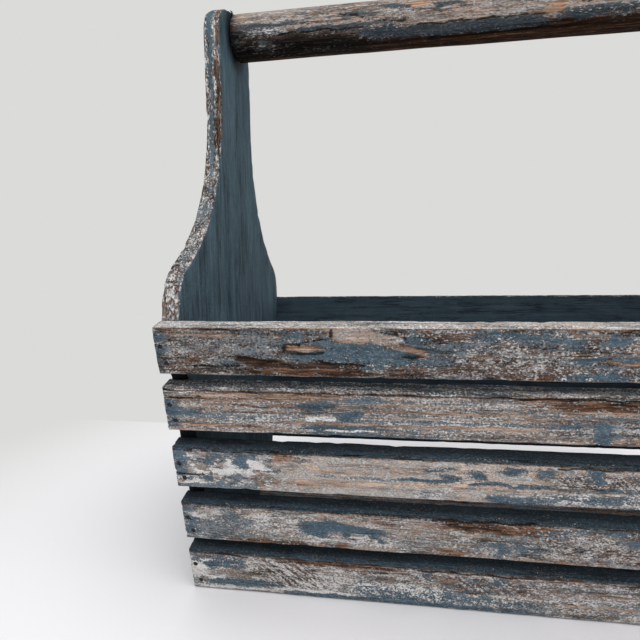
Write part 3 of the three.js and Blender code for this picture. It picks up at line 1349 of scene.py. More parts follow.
@dataclass(frozen=True)
class SlatWear:
    """How one slat's outer face has worn."""

    paint: float
    chalk: float
    tone: float
    rust: float
    flakes: float
    saw: float
    haze: float
    streaks: float
    upper_arris: float  # width of the bare line along the upper arris, in millimetres
    lower_arris: float
    upper_tone: float  # tone of the wood along the upper arris
    lower_tone: float
    patches: tuple[Patch, ...]
    cracks: tuple[Crack, ...] = ()
    ledge: FaceWear = FaceWear(0.82, 0.28, 0.28)  # its top and the band below


RIM_WEAR = SlatWear(
    paint=0.32, chalk=0.3, tone=0.32, rust=0.12, flakes=0.1, saw=0.0, haze=0.14, streaks=0.2,
    upper_arris=0.9, lower_arris=0.9, upper_tone=0.36, lower_tone=0.34,
    patches=(
        Patch(34, 12, 32, 8, paint=0.52, chalk=0.26, tone=0.28, haze=0.24, soft=0.6),
        Patch(26, 3.5, 20, 2.5, paint=0.12, chalk=0.28, tone=0.44, rust=0.3),
        Patch(60, 12, 12, 7, paint=0.56, chalk=0.3, haze=0.26, soft=0.6),
        Patch(3, 15, 5, 12, paint=0.75),
        Patch(12, 14, 5, 7, paint=0.26, chalk=0.4, haze=0.5, soft=0.5),
        Patch(76, 4.5, 7, 2.4, paint=0.8),
        Patch(116, 14.5, 42, 6, paint=0.86, chalk=0.35, tilt=3),
        Patch(147, 8, 12, 5, paint=0.8, chalk=0.4),
        Patch(162, 13, 14, 6, paint=0.66, chalk=0.4, haze=0.15, soft=0.5),
        Patch(111, 4.8, 12, 4.2, paint=-0.2, chalk=0.3, tone=0.7, rust=0.25, tilt=8, soft=0.2),
        Patch(127, 7.2, 9, 3.4, paint=-0.1, chalk=0.4, tone=0.66, rust=0.2, tilt=14, soft=0.3),
        Patch(138.5, 12.3, 11.5, 2.4, paint=-0.2, chalk=0.2, tone=0.66, rust=0.4, tilt=20, soft=0.25),
        Patch(122, 9.4, 5, 0.9, paint=0.8, tilt=8),
        Patch(84, 11.6, 8.5, 2.2, paint=-0.2, chalk=0.2, tone=0.56, rust=0.5, soft=0.3),
        Patch(34, 23.5, 30, 2.2, paint=0.15, chalk=0.26, tone=0.26, haze=0.2, soft=0.5),
        Patch(22, 19.6, 4, 1.4, paint=-0.3, chalk=0.0, tone=0.4, rust=0.95, soft=0.25),
        Patch(61, 20.2, 15, 2.6, paint=-0.3, chalk=0.0, tone=0.24, rust=0.9, tilt=7, soft=0.3),
        Patch(97, 22.2, 24, 2.3, paint=-0.2, chalk=0.06, tone=0.18, rust=0.4),
        Patch(88, 25.6, 44, 1.4, paint=-0.3, chalk=0.05, tone=0.36, rust=0.85, soft=0.3),
        Patch(121, 22.5, 9, 2.4, paint=0.55, chalk=0.55, soft=0.5),
        Patch(162, 5, 16, 3.4, paint=0.14, chalk=0.3, tone=0.34, rust=0.4, soft=0.5),
        Patch(193, 5.8, 24, 3, paint=0.72, chalk=0.5, tilt=4),
        Patch(198, 16, 22, 8, paint=0.3, chalk=0.44, tone=0.36, haze=0.26, soft=0.5),
        Patch(174, 17, 10, 4, paint=0.15, chalk=0.34, tone=0.34, rust=0.3, haze=0.2, soft=0.5),
        Patch(155, 24.5, 22, 2.2, paint=0.1, chalk=0.25, tone=0.3, rust=0.5),
        Patch(196, 27, 22, 1.6, paint=0.0, chalk=0.3, tone=0.34, rust=0.5),
    ),
    cracks=(
        ((72, 12.5), (78, 9.6), (90, 8), (97, 6), (101.5, 1)),
        ((73.5, 13.8), (82, 14.8), (93, 15)),
        ((18, 23.2), (34, 22.6), (50, 23)),
        ((46, 17.6), (58, 17.8), (70, 20.6), (79, 24)),
        ((134, 15.6), (142, 17.2), (149, 14.6)),
        ((12, 17.4), (19, 17.8)),
        ((126, 2.4), (134, 4.6), (138, 9)),
        ((92, 20), (112, 20.6), (118, 24)),
    ),
)
SECOND_WEAR = SlatWear(
    paint=0.24, chalk=0.42, tone=0.62, rust=0.06, flakes=0.1, saw=0.0, haze=0.14, streaks=0.85,
    upper_arris=0.6, lower_arris=0.9, upper_tone=0.2, lower_tone=0.5,
    patches=(
        Patch(3, 18, 5, 11, paint=0.82),
        Patch(15, 16.5, 5, 2.4, paint=0.72),
        Patch(8, 3, 9, 1.1, paint=0.0, chalk=0.95),
        Patch(70, 4.4, 38, 0.6, paint=-0.1, chalk=0.1, tone=0.54, rust=0.7),
        Patch(30, 7.6, 28, 0.5, paint=-0.1, chalk=0.1, tone=0.54, rust=0.6),
        Patch(55, 11.2, 34, 0.5, paint=-0.1, chalk=0.1, tone=0.5, rust=0.6),
        Patch(170, 12, 46, 0.5, paint=0.0, chalk=0.15, tone=0.58, rust=0.5),
        Patch(148, 20.8, 84, 0.6, paint=-0.1, chalk=0.1, tone=0.56, rust=0.65),
        Patch(42, 24.4, 24, 0.6, paint=-0.1, chalk=0.1, tone=0.54, rust=0.65),
        Patch(205, 2.8, 14, 1.0, paint=-0.1, chalk=0.1, tone=0.5, rust=0.7),
        Patch(114, 6, 9, 3, paint=0.6, chalk=0.45, soft=0.5),
        Patch(91, 9.3, 11, 1.5, paint=1.0, soft=0.2),
        Patch(88.5, 13, 4, 2.2, paint=0.85),
        Patch(107, 15.5, 6.8, 3.2, paint=1.05, soft=0.15),
        Patch(105, 25, 25, 3.2, paint=0.86, soft=0.25),
        Patch(92, 18.2, 10, 1.3, paint=-0.2, chalk=1.1),
        Patch(102, 24.9, 24, 0.7, paint=0.2, chalk=0.9),
        Patch(40, 18.5, 30, 1.2, paint=0.45, chalk=0.8, soft=0.5),
        Patch(165, 18.8, 50, 1.3, paint=0.42, chalk=0.75, soft=0.5),
        Patch(152, 25.4, 26, 2.6, paint=0.42, chalk=0.55, soft=0.5),
    ),
    cracks=(
        ((5, 6.8), (24, 6.6)),
    ),
    ledge=FaceWear(0.38, 0.56, 0.62),
)
THIRD_WEAR = SlatWear(
    paint=0.13, chalk=0.44, tone=0.9, rust=0.06, flakes=0.3, saw=0.0, haze=0.26, streaks=0.35,
    upper_arris=0.6, lower_arris=0.7, upper_tone=0.12, lower_tone=0.5,
    patches=(
        Patch(30, 15, 34, 16, paint=0.5, chalk=0.66, tone=0.7, flakes=1.0, haze=0.12, soft=0.12),
        Patch(9, 12, 5, 3, paint=0.0, chalk=0.8, soft=0.2),
        Patch(15, 6, 5, 2.6, paint=0.0, chalk=0.8, tilt=-20, soft=0.2),
        Patch(16.5, 13.5, 4.4, 3.6, paint=0.1, chalk=0.72, soft=0.2),
        Patch(32, 13.5, 7, 3.6, paint=0.0, chalk=0.76, tilt=-25, soft=0.2),
        Patch(37, 9, 3, 3.4, paint=-0.1, chalk=0.86, soft=0.2),
        Patch(51, 10.4, 5, 3.2, paint=-0.1, chalk=0.86, soft=0.2),
        Patch(49.5, 17.4, 4, 2, paint=0.0, chalk=0.82, soft=0.2),
        Patch(63, 16, 3, 2, paint=0.0, chalk=0.76, soft=0.25),
        Patch(12, 23.4, 4, 1.8, paint=-0.1, chalk=0.86, soft=0.2),
        Patch(22, 25.2, 4.4, 1.5, paint=0.0, chalk=0.8, soft=0.2),
        Patch(45, 22.4, 5, 1.6, paint=0.1, chalk=0.95, soft=0.3),
        Patch(3, 14, 4.5, 13, paint=0.72),
        Patch(23.5, 12, 2, 7, paint=0.86, soft=0.3),
        Patch(43, 9, 2.6, 6, paint=0.82, soft=0.3),
        Patch(60, 9, 3, 6, paint=0.7, chalk=0.5, soft=0.5),
        Patch(34, 26.8, 18, 1.6, paint=0.6),
        Patch(70, 4.8, 8, 2.8, paint=0.1, chalk=0.2, tone=0.5, rust=0.6),
        Patch(77, 6, 3, 2.2, paint=0.82),
        Patch(88, 21, 28, 2.5, paint=0.0, chalk=0.32, tone=0.68, rust=0.5, tilt=-4, soft=0.5),
        Patch(150, 18.9, 44, 1.1, paint=-0.1, chalk=0.16, tone=0.8, rust=0.5, tilt=-1),
        Patch(125, 10, 52, 5, paint=0.03, chalk=0.42, tone=0.98, rust=0.14, haze=0.26, soft=0.5),
        Patch(112, 16.3, 26, 0.8, paint=0.62, chalk=0.7),
        Patch(146, 15.6, 14, 1.2, paint=0.86),
        Patch(161, 14, 4.5, 2.8, paint=0.92),
        Patch(157, 8, 8, 1.6, paint=0.7),
        Patch(176.5, 10, 4, 3, paint=0.92),
        Patch(184, 15.8, 11, 1.2, paint=0.86),
        Patch(194, 7, 6.5, 2.8, paint=0.9),
        Patch(211, 8.5, 4.5, 3.2, paint=0.9),
        Patch(206, 16.5, 8, 1.6, paint=0.8),
        Patch(115, 25.4, 30, 2.6, paint=0.1, chalk=0.55, haze=0.5, soft=0.5),
        Patch(152, 25.2, 10, 3.2, paint=0.55, chalk=0.75, soft=0.5),
        Patch(200, 25.8, 18, 2.8, paint=0.76, chalk=0.55),
    ),
    cracks=(
        ((2, 19.2), (20, 18.8)),
        ((62, 1.2), (67, 1.2)),
        ((94, 1.2), (120, 1)),
    ),
)
FOURTH_WEAR = SlatWear(
    paint=0.22, chalk=0.42, tone=0.58, rust=0.0, flakes=0.1, saw=0.0, haze=0.3, streaks=0.1,
    upper_arris=0.8, lower_arris=0.7, upper_tone=0.18, lower_tone=0.3,
    patches=(
        Patch(29, 14, 22, 10, paint=0.78, chalk=0.52, haze=0.22, soft=0.5),
        Patch(4, 16, 5.5, 13, paint=0.82),
        Patch(15, 8, 8, 3.4, paint=0.12, chalk=0.7, haze=0.5, flakes=0.6),
        Patch(20, 25.4, 10, 2.4, paint=0.6),
        Patch(59, 12, 18, 8, paint=0.14, chalk=0.62, tone=0.62, haze=0.3, soft=0.5),
        Patch(102, 21, 28, 5, paint=0.02, chalk=0.72, tone=0.66, rust=0.1, haze=0.3, soft=0.5),
        Patch(60, 26.8, 26, 2, paint=0.0, chalk=0.2, tone=0.32, rust=0.55, soft=0.5),
        Patch(102, 26, 4.5, 2, paint=0.0, chalk=0.15, tone=0.54, rust=0.55),
        Patch(86, 13.3, 9.5, 4.2, paint=1.05, soft=0.1),
        Patch(89, 19, 4.4, 2.8, paint=0.95, soft=0.2),
        Patch(80.5, 17, 2.4, 3, paint=0.95, soft=0.2),
        Patch(101, 11.9, 13, 3.2, paint=1.05, tilt=6, soft=0.1),
        Patch(117, 14.2, 9, 2.4, paint=1.05, soft=0.12),
        Patch(97.5, 16.8, 1.7, 3.6, paint=1.05, soft=0.2),
        Patch(104.5, 17.2, 1.6, 3.8, paint=1.05, soft=0.2),
        Patch(122.5, 18.2, 3, 3.6, paint=1.0, soft=0.2),
        Patch(124, 7.6, 28, 1.5, paint=0.0, chalk=0.25, tone=0.38, rust=0.5, tilt=11, soft=0.5),
        Patch(146, 14, 16, 7, paint=0.12, chalk=0.42, tone=0.58, haze=0.48, soft=0.5),
        Patch(186, 18, 36, 6, paint=0.42, chalk=0.42, tone=0.44, haze=0.3, soft=0.5),
        Patch(188, 6.4, 36, 3.2, paint=-0.1, chalk=0.16, tone=0.34, rust=0.75, saw=0.4),
        Patch(164, 25, 12, 2, paint=-0.1, chalk=0.15, tone=0.52, rust=0.6),
        Patch(192.5, 21.5, 4.5, 6, paint=0.95, soft=0.25),
        Patch(208, 19, 8, 4, paint=0.7, soft=0.5),
    ),
    cracks=(
        ((152, 3), (180, 2.6), (212, 2)),
        ((2, 13), (5, 13.4)),
    ),
)
FOOT_WEAR = SlatWear(
    paint=0.22, chalk=0.5, tone=0.52, rust=0.12, flakes=0.15, saw=0.1, haze=0.26, streaks=0.1,
    upper_arris=0.8, lower_arris=0.35, upper_tone=0.18, lower_tone=0.4,
    patches=(
        Patch(20, 9, 19, 7, paint=0.7, chalk=0.6),
        Patch(12, 7, 4, 1.8, paint=0.1, chalk=0.95),
        Patch(4.5, 14, 8, 3.6, paint=-0.1, chalk=1.0, tone=0.85, tilt=55, soft=0.2),
        Patch(16, 21.5, 7, 1.6, paint=-0.1, chalk=0.9, tone=0.8, tilt=-12, soft=0.3),
        Patch(50, 8, 12, 5, paint=0.2, chalk=0.62, haze=0.3, soft=0.5),
        Patch(38, 17, 24, 3, paint=0.0, chalk=0.44, tone=0.56, rust=0.2, haze=0.34, soft=0.5),
        Patch(66, 9, 18, 8, paint=0.0, chalk=0.54, tone=0.46, rust=0.35, saw=0.75, haze=0.2, soft=0.5),
        Patch(72, 20, 18, 6.5, paint=0.0, chalk=0.54, tone=0.42, rust=0.35, saw=0.8, haze=0.2, soft=0.5),
        Patch(96, 16, 11, 9, paint=0.08, chalk=0.66, tone=0.6, haze=0.36, saw=0.3, soft=0.5),
        Patch(98, 3.9, 38, 1.8, paint=-0.1, chalk=0.1, tone=0.28, rust=0.6, saw=0.3),
        Patch(138, 22, 33, 6.5, paint=0.56, chalk=1.0, haze=0.0, soft=0.3),
        Patch(182, 12, 36, 6, paint=0.26, chalk=0.4, tone=0.38, rust=0.35, saw=0.4, haze=0.14, soft=0.5),
        Patch(150, 7.5, 5, 3, paint=0.7),
        Patch(194, 8, 4, 4, paint=0.9),
        Patch(185, 16, 12, 0.9, paint=0.75, tilt=-5),
        Patch(192, 23, 28, 3.4, paint=0.6, chalk=0.8, haze=0.05, soft=0.5),
        Patch(34, 24.6, 25, 2.6, paint=0.92, soft=0.25),
        Patch(30, 29.2, 28, 1.0, paint=0.1, chalk=0.95),
        Patch(84, 26.8, 25, 1.0, paint=-0.1, chalk=1.1, soft=0.3),
        Patch(88, 29.8, 27, 2.0, paint=0.88),
        Patch(166, 29.4, 54, 2.0, paint=0.84),
    ),
    cracks=(
        ((145, 3.6), (180, 3.4), (214, 3.8)),
        ((20, 2.4), (40, 3.2)),
    ),
)
SLAT_WEAR = (RIM_WEAR, SECOND_WEAR, THIRD_WEAR, FOURTH_WEAR, FOOT_WEAR)  # from the rim down


@dataclass
class SlattedSides:
    """The five slats on each long side; the two with one number are planed from one bar."""

    sizes: CaddySizes
    arris: float = 0.0012
    rolled_radius: float = 0.0024  # upper front arris of every slat but the rim's
    cuts_along: int = 400
    cuts_up: int = 38
    cuts_through: int = 5
    arris_reach: float = 0.0035
    seed_step: float = 3.7
    back_seed: float = 41.3
    relief_stride: float = 11.9
    reliefs: tuple[Relief, ...] = (
        Relief("slat hollows", 0.0004, 0.055, 0.012, 2, 0.0),
        Relief("slat grain", 0.0002, 0.030, 0.0034, 3, 0.0),
        Relief("slat nicks", 0.0008, 0.007, 0.004, 2, 0.0, (0.58, 0.75), True),
        Relief("slat arris wear", 0.0004, 0.028, 0.010, 2, 0.0, (0.35, 0.75), True),
    )
    wear_shift: int = 2  # slats by which the wear moves on, for the back and for the right half
    rim_top: FaceWear = FaceWear(0.14, 0.58, 0.9)
    underside: FaceWear = FaceWear(0.72, 0.1, 0.22)
    end_grain: FaceWear = FaceWear(0.62, 0.25, 0.3)
    inside: FaceWear = FaceWear(1.2, 0.0, 0.3)
    corner: FaceWear = FaceWear(0.5, 0.45, 0.4)  # between the outer face and the others
    ledge_shelter: float = 0.2  # paint that a top has more at its back than at its front
    band_height: float = 0.0026  # darkened band under the rolled arris
    band_fade: tuple[float, float] = (0.75, 1.0)  # share of its height over which it ends
    end_reach: float = 0.0026  # how far the knocks on a slat's ends reach
    end_knocks: float = 0.7
    rim_chips: tuple[float, float] = (0.0010, 0.0040)  # depth over which the rim's inner chips end
    rim_line: float = 0.0004  # depth of the bare line along the rim's upper arris
    line_waver: float = 0.4  # share of the wavering that a bare line takes
    arris_rust: float = 0.6
    hidden_streaks: float = 0.5
    # painted shade under the slats and on their inner faces, inside the caddy
    under_shade: float = 0.75
    inner_shade: float = 0.85
    rim_inner_shade: float = 0.6
    ledge_shade: tuple[float, float] = (0.6, 0.42)  # painted shade on the tops under the slat above: for its paint, and deeper towards its back
    band_darkening: float = 0.55  # darkening of the band, for the ledge's paint

    def blank(self, height: float, is_rim: bool) -> Piece:
        """Planes one slat: a squared bar with eased arrises and its brad holes, in its own frame.

        Args:
            height: Height of the slat.
            is_rim: Whether it is a rim slat, whose upper arris is left sharp.

        Returns:
            The bar, to be copied.
        """
        sizes = self.sizes
        half = sizes.length / 2
        bar = add_block("slat_blank", (-half, 0.0, -height), (half, sizes.slat_thickness, 0.0))
        ease_arrises(bar, self.arris)
        with editing(bar):
            split_edges(bar, 0, half, self.cuts_along)
            split_edges(bar, 2, height / 2, self.cuts_up)
            split_edges(bar, 1, sizes.slat_thickness / 2, self.cuts_through)
        if not is_rim:
            self.roll_arris(bar)
        inward = Vector((0.0, 1.0, 0.0))
        depth = sizes.slat_thickness + 2 * sizes.overcut
        holes = []
        for along, drop in sizes.brad_spots(height):
            start = Vector((along, -sizes.overcut, -drop))
            holes.append(Hole(start, inward, depth, sizes.brad_hole_radius))
        drill(bar, holes)
        mark_arrises(bar, lambda points: self.arris_distance(points, height), self.arris_reach)
        return bar

    def roll_arris(self, bar: Piece) -> None:
        """Rounds the upper front arris of a bar."""
        points = vertex_points(bar)
        radius = self.rolled_radius
        inwards = radius - points[:, 1]
        upwards = radius + points[:, 2]
        reach = np.hypot(inwards, upwards)
        outside = (inwards > 0.0) & (upwards > 0.0) & (reach > radius)
        pull = np.where(outside, radius / np.maximum(reach, radius), 1.0)
        points[:, 1] = np.where(outside, radius - inwards * pull, points[:, 1])
        points[:, 2] = np.where(outside, upwards * pull - radius, points[:, 2])
        bar.data.vertices.foreach_set("co", points.ravel())
        bar.data.update()

    def arris_distance(self, points: Array, height: float) -> Array:
        """Gives each point's distance from the nearest arris of a bar of a height."""
        sizes = self.sizes
        gaps = np.stack(
            (
                sizes.length / 2 - np.abs(points[:, 0]),
                np.minimum(points[:, 1], sizes.slat_thickness - points[:, 1]),
                np.minimum(-points[:, 2], height + points[:, 2]),
            )
        )
        nearest = np.sort(np.maximum(gaps, 0.0), axis=0)
        return np.hypot(nearest[0], nearest[1])

    def build(self, side: Side, number: int, blank: Piece, material: Material) -> None:
        """Makes one slat from the blank, wears it, and nails it in its place.

        Args:
            side: The long side that it is on.
            number: Its number from the rim, from 1.
            blank: The planed bar.
            material: Its finish.
        """
        name = f"{side.value}_slat_{number}"
        slat = copy_piece(blank, f"{name}_worn")
        seed = number * self.seed_step + (0.0 if side is Side.FRONT else self.back_seed)
        carve_all(slat, self.reliefs, Grain.LENGTHWISE, seed, self.relief_stride)
        dress_corners(slat, lambda points, normals: self.wear(side, number, points, normals))
        settle(slat, self.sizes.side_place(side, self.sizes.slat_tops[number - 1]))
        hand_over(slat, material, (name,))

    def wear(self, side: Side, number: int, points: Array, normals: Array) -> Layers:
        """Gives wear, habit and marks at corners of a slat.

        Args:
            side: The long side that the slat is on.
            number: Its number from the rim, from 1.
            points: Corner points in the slat's own frame.
            normals: Normals of their faces.

        Returns:
            Wear, habit and marks, four values each.
        """
        sizes = self.sizes
        is_rim = number == 1
        first = number - 1 + (0 if side is Side.FRONT else self.wear_shift)
        wear = SLAT_WEAR[first % len(SLAT_WEAR)]
        far_wear = SLAT_WEAR[(first + self.wear_shift) % len(SLAT_WEAR)]
        along = points[:, 0] + sizes.length / 2
        down = -points[:, 2]
        from_front = points[:, 1] / sizes.slat_thickness
        outer = rise(*SLAT_FACING, -normals[:, 1])
        inner = rise(*SLAT_FACING, normals[:, 1])
        top = rise(*SLAT_FACING, normals[:, 2])
        under = rise(*SLAT_FACING, -normals[:, 2])
        ends = rise(*SLAT_FACING, np.abs(normals[:, 0]))
        corner = np.clip(1.0 - outer - top - under - ends - inner, 0.0, 1.0)
        band = outer * (0.0 if is_rim else 1.0 - rise(*self.band_fade, down / self.band_height))
        face = outer + corner

        worn = {name: np.full(len(points), getattr(wear, name)) for name in PATCH_VALUES}
        wavy_along, wavy_down = waver(along, down)
        crack = np.zeros(len(points))
        for half, reach in ((wear, wavy_along), (far_wear, sizes.length - wavy_along)):
            crack = np.maximum(crack, lay_patches(worn, reach, wavy_down, half.patches, half.cracks))
        from_end = sizes.length / 2 - np.abs(points[:, 0])
        lay(worn, self.end_knocks * fade(from_end, self.end_reach), KNOCKED)
        ledge = asdict(wear.ledge)
        sheltered = ledge | {"paint": wear.ledge.paint + self.ledge_shelter * from_front}
        lay(worn, top, asdict(self.rim_top) if is_rim else sheltered)
        lay(worn, under, asdict(self.underside))
        lay(worn, ends, asdict(self.end_grain))
        lay(worn, inner, asdict(self.inside))
        lay(worn, corner, asdict(self.corner))
        lay(worn, band, ledge)
        if is_rim:
            lay(worn, inner * (1.0 - rise(*self.rim_chips, down)), CHIPPED)

        outside = np.clip(1.0 - 2.0 * from_front, 0.0, 1.0)
        line = self.rim_line if is_rim else self.band_height
        off_line = down + self.line_waver * (wavy_down - down) - line
        upper = fade(off_line, wear.upper_arris * MM) * outside * (1.0 - top)
        lower = fade(sizes.slat_heights[number - 1] - down, wear.lower_arris * MM) * outside
        lay(worn, rise(*BARE_ARRIS, upper), {"tone": wear.upper_tone})
        lay(worn, rise(*BARE_ARRIS, lower), {"tone": wear.lower_tone})
        arris = np.maximum(upper, lower) * (1.0 - inner)

        streaks = wear.streaks * face + self.hidden_streaks * (1.0 - face)
        # Painted shade under the slat, on its inner face, and on its top under the slat above, deeper
        # towards the back; the band under the rolled arris is darkened too.
        grime_and_shade = self.under_shade * under + (self.rim_inner_shade if is_rim else self.inner_shade) * inner
        if not is_rim:
            for_paint, for_back = self.ledge_shade
            grime_and_shade += (for_paint * wear.ledge.paint + for_back * from_front) * top
        grime_and_shade += self.band_darkening * wear.ledge.paint * band
        rust = np.maximum(worn["rust"], self.arris_rust * rise(*BARE_ARRIS, arris)) * face
        film = worn["haze"] * face * (1.0 - band)
        return (
            pack_corners(worn["paint"], np.maximum(worn["chalk"], 0.0), worn["tone"], arris),
            pack_corners(streaks, worn["flakes"] * face, worn["saw"] * outer, grime_and_shade),
            pack_corners(rust, crack * outer, film, UNREAD),
        )


@dataclass(frozen=True)
class EdgeStrip:
    """A strip of wear that runs up the edge of an end board's neck."""

    middle: float  # its distance from the outer face
    half_width: float
    paint: float
    chalk: float
    tone: float = 0.36
    rust: float = 0.0

    def targets(self) -> dict[str, float]:
        """Gives the values that the strip sets."""
        return {"paint": self.paint, "chalk": self.chalk, "tone": self.tone, "rust": self.rust}


@dataclass
class EndBoards:
    """The two sculpted end boards, sawn from one blank."""

    sizes: CaddySizes
    level_step: float = 0.004
    arc_steps: int = 14
    crown_steps: int = 12
    crown_flat: float = 0.003  # half the width of the last level under the crown
    column_step: float = 0.004
    edge_cuts: int = 9
    arris: float = 0.0012
    ease_angle: float = math.radians(50)
    arris_reach: float = 0.004
    left_seed: float = 5.3
    right_seed: float = 23.9
    relief_stride: float = 7.7
    strips: tuple[EdgeStrip, ...] = (
        EdgeStrip(0.0018, 0.0011, paint=0.22, chalk=0.64),
        EdgeStrip(0.0047, 0.0016, paint=0.86, chalk=0.5),
        EdgeStrip(0.0075, 0.0012, paint=0.34, chalk=0.52),
        EdgeStrip(0.0096, 0.0009, paint=-0.1, chalk=0.12, tone=0.4, rust=0.6),
    )
    reliefs: tuple[Relief, ...] = (
        Relief("board hollows", 0.0004, 0.090, 0.018, 2, 0.0),
        Relief("board grain", 0.0002, 0.030, 0.0042, 3, 0.0),
        Relief("board nicks", 0.0013, 0.008, 0.005, 2, 0.0, (0.56, 0.72), True),
        Relief("board arris wear", 0.0006, 0.030, 0.012, 2, 0.0, (0.3, 0.7), True),
    )
    inside: FaceWear = FaceWear(1.12, 0.3, 0.3)
    outside: FaceWear = FaceWear(0.86, 0.24, 0.42)
    sawn_edge: FaceWear = FaceWear(0.32, 0.5, 0.36)
    edge_rust: float = 0.2
    hidden_paint: float = 1.1  # on the edge behind the slats
    hidden_fade: float = 0.004
    neck_rise: tuple[float, float] = (0.07, 0.13)  # heights over the slats over which the strips set in
    strip_fade: tuple[float, float] = (0.6, 1.4)  # share of a strip's half width over which it ends
    strip_wave: tuple[float, float] = (0.6, 41.0)  # size and length of their wander, in millimetres
    strip_turn: float = 3.0  # how differently the strips of the two edges wander
    arris_width: float = 0.0015
    arris_wear: float = 0.7
    face_arris_loss: float = 0.2  # how much less of the arris's wear shows on the broad faces
    rubbed_width: float = 0.0025  # along the inner rim
    rubbed_loss: float = 0.48
    rim_width: float = 0.008  # along the outer rim
    rim_loss: float = 0.34
    rim_chalk: float = 0.2
    scuff_heights: tuple[float, float] = (0.005, 0.060)
    scuff_loss: float = 0.26
    scuff_chalk: float = 0.24
    streaks: tuple[float, float, float] = (0.6, 0.4, 0.15)  # inside, outside and on the edge
    flakes: tuple[float, float] = (0.25, 0.2)  # outside and on the edge
    dirt_and_shade_reach: float = 0.030  # how far round the handle the dirt and painted shade of its joint reach
    handle_dirt_and_shade: float = 0.85
    # painted shade inside the caddy: on the inner face, in its depths and on the edges behind the slats
    inner_shade: float = 0.1
    deep_share: float = 0.7  # share of the slats' height over which the painted shade of the depths ends
    deep_shade: float = 0.55
    hidden_shade: float = 0.95
    edge_film: float = 0.12
    neck_film_loss: float = 0.6

    def levels(self) -> list[tuple[float, float]]:
        """Lists heights and half widths of the outline, from the foot to the crown."""
        sizes = self.sizes
        neck_half = sizes.neck_width / 2
        shoulder = sizes.edge_top + sizes.shoulder_rise
        shoulder_centre = sizes.edge_half - sizes.shoulder_radius
        sweep_centre = neck_half + sizes.sweep_radius
        reach = sweep_centre - shoulder_centre
        climb = math.sqrt((sizes.shoulder_radius + sizes.sweep_radius) ** 2 - reach**2)
        sweep_top = shoulder + climb
        join = math.atan2(climb, reach)
        crown_base = sizes.board_top - sizes.crown_rise

        outline = []
        steps = round(sizes.edge_top / self.level_step)
        for step in range(steps + 1):
            height = sizes.edge_top * step / steps
            outline.append((height, sizes.half_width_at(height)))
        for step in range(self.arc_steps + 1):
            angle = join * step / self.arc_steps
            height = shoulder + sizes.shoulder_radius * math.sin(angle)
            outline.append((height, shoulder_centre + sizes.shoulder_radius * math.cos(angle)))
        for step in range(1, 2 * self.arc_steps + 1):
            angle = join * (1 - step / (2 * self.arc_steps))
            height = sweep_top - sizes.sweep_radius * math.sin(angle)
            outline.append((height, sweep_centre - sizes.sweep_radius * math.cos(angle)))
        steps = round((crown_base - sweep_top) / self.level_step)
        for step in range(1, steps + 1):
            outline.append((sweep_top + (crown_base - sweep_top) * step / steps, neck_half))
        last = math.acos(self.crown_flat / neck_half)
        for step in range(1, self.crown_steps + 1):
            angle = last * step / self.crown_steps
            height = crown_base + sizes.crown_rise * math.sin(angle)
            outline.append((height, neck_half * math.cos(angle)))
        return outline

    def blank(self) -> Piece:
        """Saws one board: outer face at x = 0, wood towards +X, drilled and eased."""
        sizes = self.sizes
        outline = self.levels()
        (foot, foot_half), (first, first_half) = outline[:2]
        middle = (foot + first) / 2
        clear_selection()
        bpy.ops.mesh.primitive_plane_add(
            size=1.0,
            location=(0.0, 0.0, middle),
            rotation=(0.0, math.pi / 2, 0.0),
        )
        bpy.context.object.scale = (first - foot, 2 * foot_half, 1.0)
        board = take_primitive("board_blank")
        with editing(board):
            pick_edges(board, lies_above(middle))
            widen(first_half / foot_half, first)
            for (low, low_half), (high, high_half) in zip(outline[1:], outline[2:]):
                push_out((0.0, 0.0, high - low))
                widen(high_half / low_half, high)
        apply_modifier(board, "SOLIDIFY", {"thickness": sizes.board_thickness, "offset": 1.0})
        with editing(board):
            bpy.ops.mesh.select_all(action="SELECT")
            bpy.ops.mesh.normals_make_consistent(inside=False)
        ease_arrises(board, self.arris, self.ease_angle, clamp=False)
        columns = int(sizes.edge_half / self.column_step)
        layers = self.edge_cuts + 1
        with editing(board):
            bisect_at([self.column_step * step for step in range(-columns, columns + 1)], 1)
            bisect_at([sizes.board_thickness * step / layers for step in range(1, layers)], 0)
        drill(board, self.holes())
        mark_arrises(board, self.arris_distance, self.arris_reach)
        return board

    def holes(self) -> list[Hole]:
        """Lists the left board's holes: slat brads in its edges, floor brads and the handle screw."""
        sizes = self.sizes
        overcut = sizes.overcut
        radius = sizes.brad_hole_radius
        depth = sizes.brad_reach - sizes.slat_thickness + overcut
        holes = []
        for side in Side:
            for top, height in zip(sizes.slat_tops, sizes.slat_heights):
                place = sizes.side_place(side, top)
                inward = place.to_3x3() @ Vector((0.0, 1.0, 0.0))
                for along, drop in sizes.brad_spots(height):
                    start = place @ Vector((along, sizes.slat_thickness - overcut, -drop))
                    if start.x < 0.0:
                        start.x += sizes.length / 2
                        holes.append(Hole(start, inward, depth, radius))
        along_handle = Vector((1.0, 0.0, 0.0))
        through = sizes.board_thickness + 2 * overcut
        for sign in (-1, 1):
            start = Vector((-overcut, sign * sizes.floor_brad_across, sizes.floor_thickness / 2))
            holes.append(Hole(start, along_handle, through, radius))
        start = Vector((-overcut, 0.0, sizes.handle_height))
        holes.append(Hole(start, along_handle, through, sizes.screw_hole_radius, SCREW_HOLE_SIDES))
        return holes

    def arris_distance(self, points: Array) -> Array:
        """Gives each point's distance from the nearest arris of the board."""
        return np.hypot(self.face_distance(points), self.edge_distance(points))

    def face_distance(self, points: Array) -> Array:
        """Gives each point's depth under the nearer broad face."""
        return np.maximum(np.minimum(points[:, 0], self.sizes.board_thickness - points[:, 0]), 0.0)

    def edge_distance(self, points: Array) -> Array:
        """Gives each point's distance inside the outline, measured level and from the crown."""
        heights, halves = np.array(self.levels()).T
        level = np.interp(points[:, 2], heights, halves) - np.abs(points[:, 1])
        return np.maximum(np.minimum(level, self.sizes.board_top - points[:, 2]), 0.0)

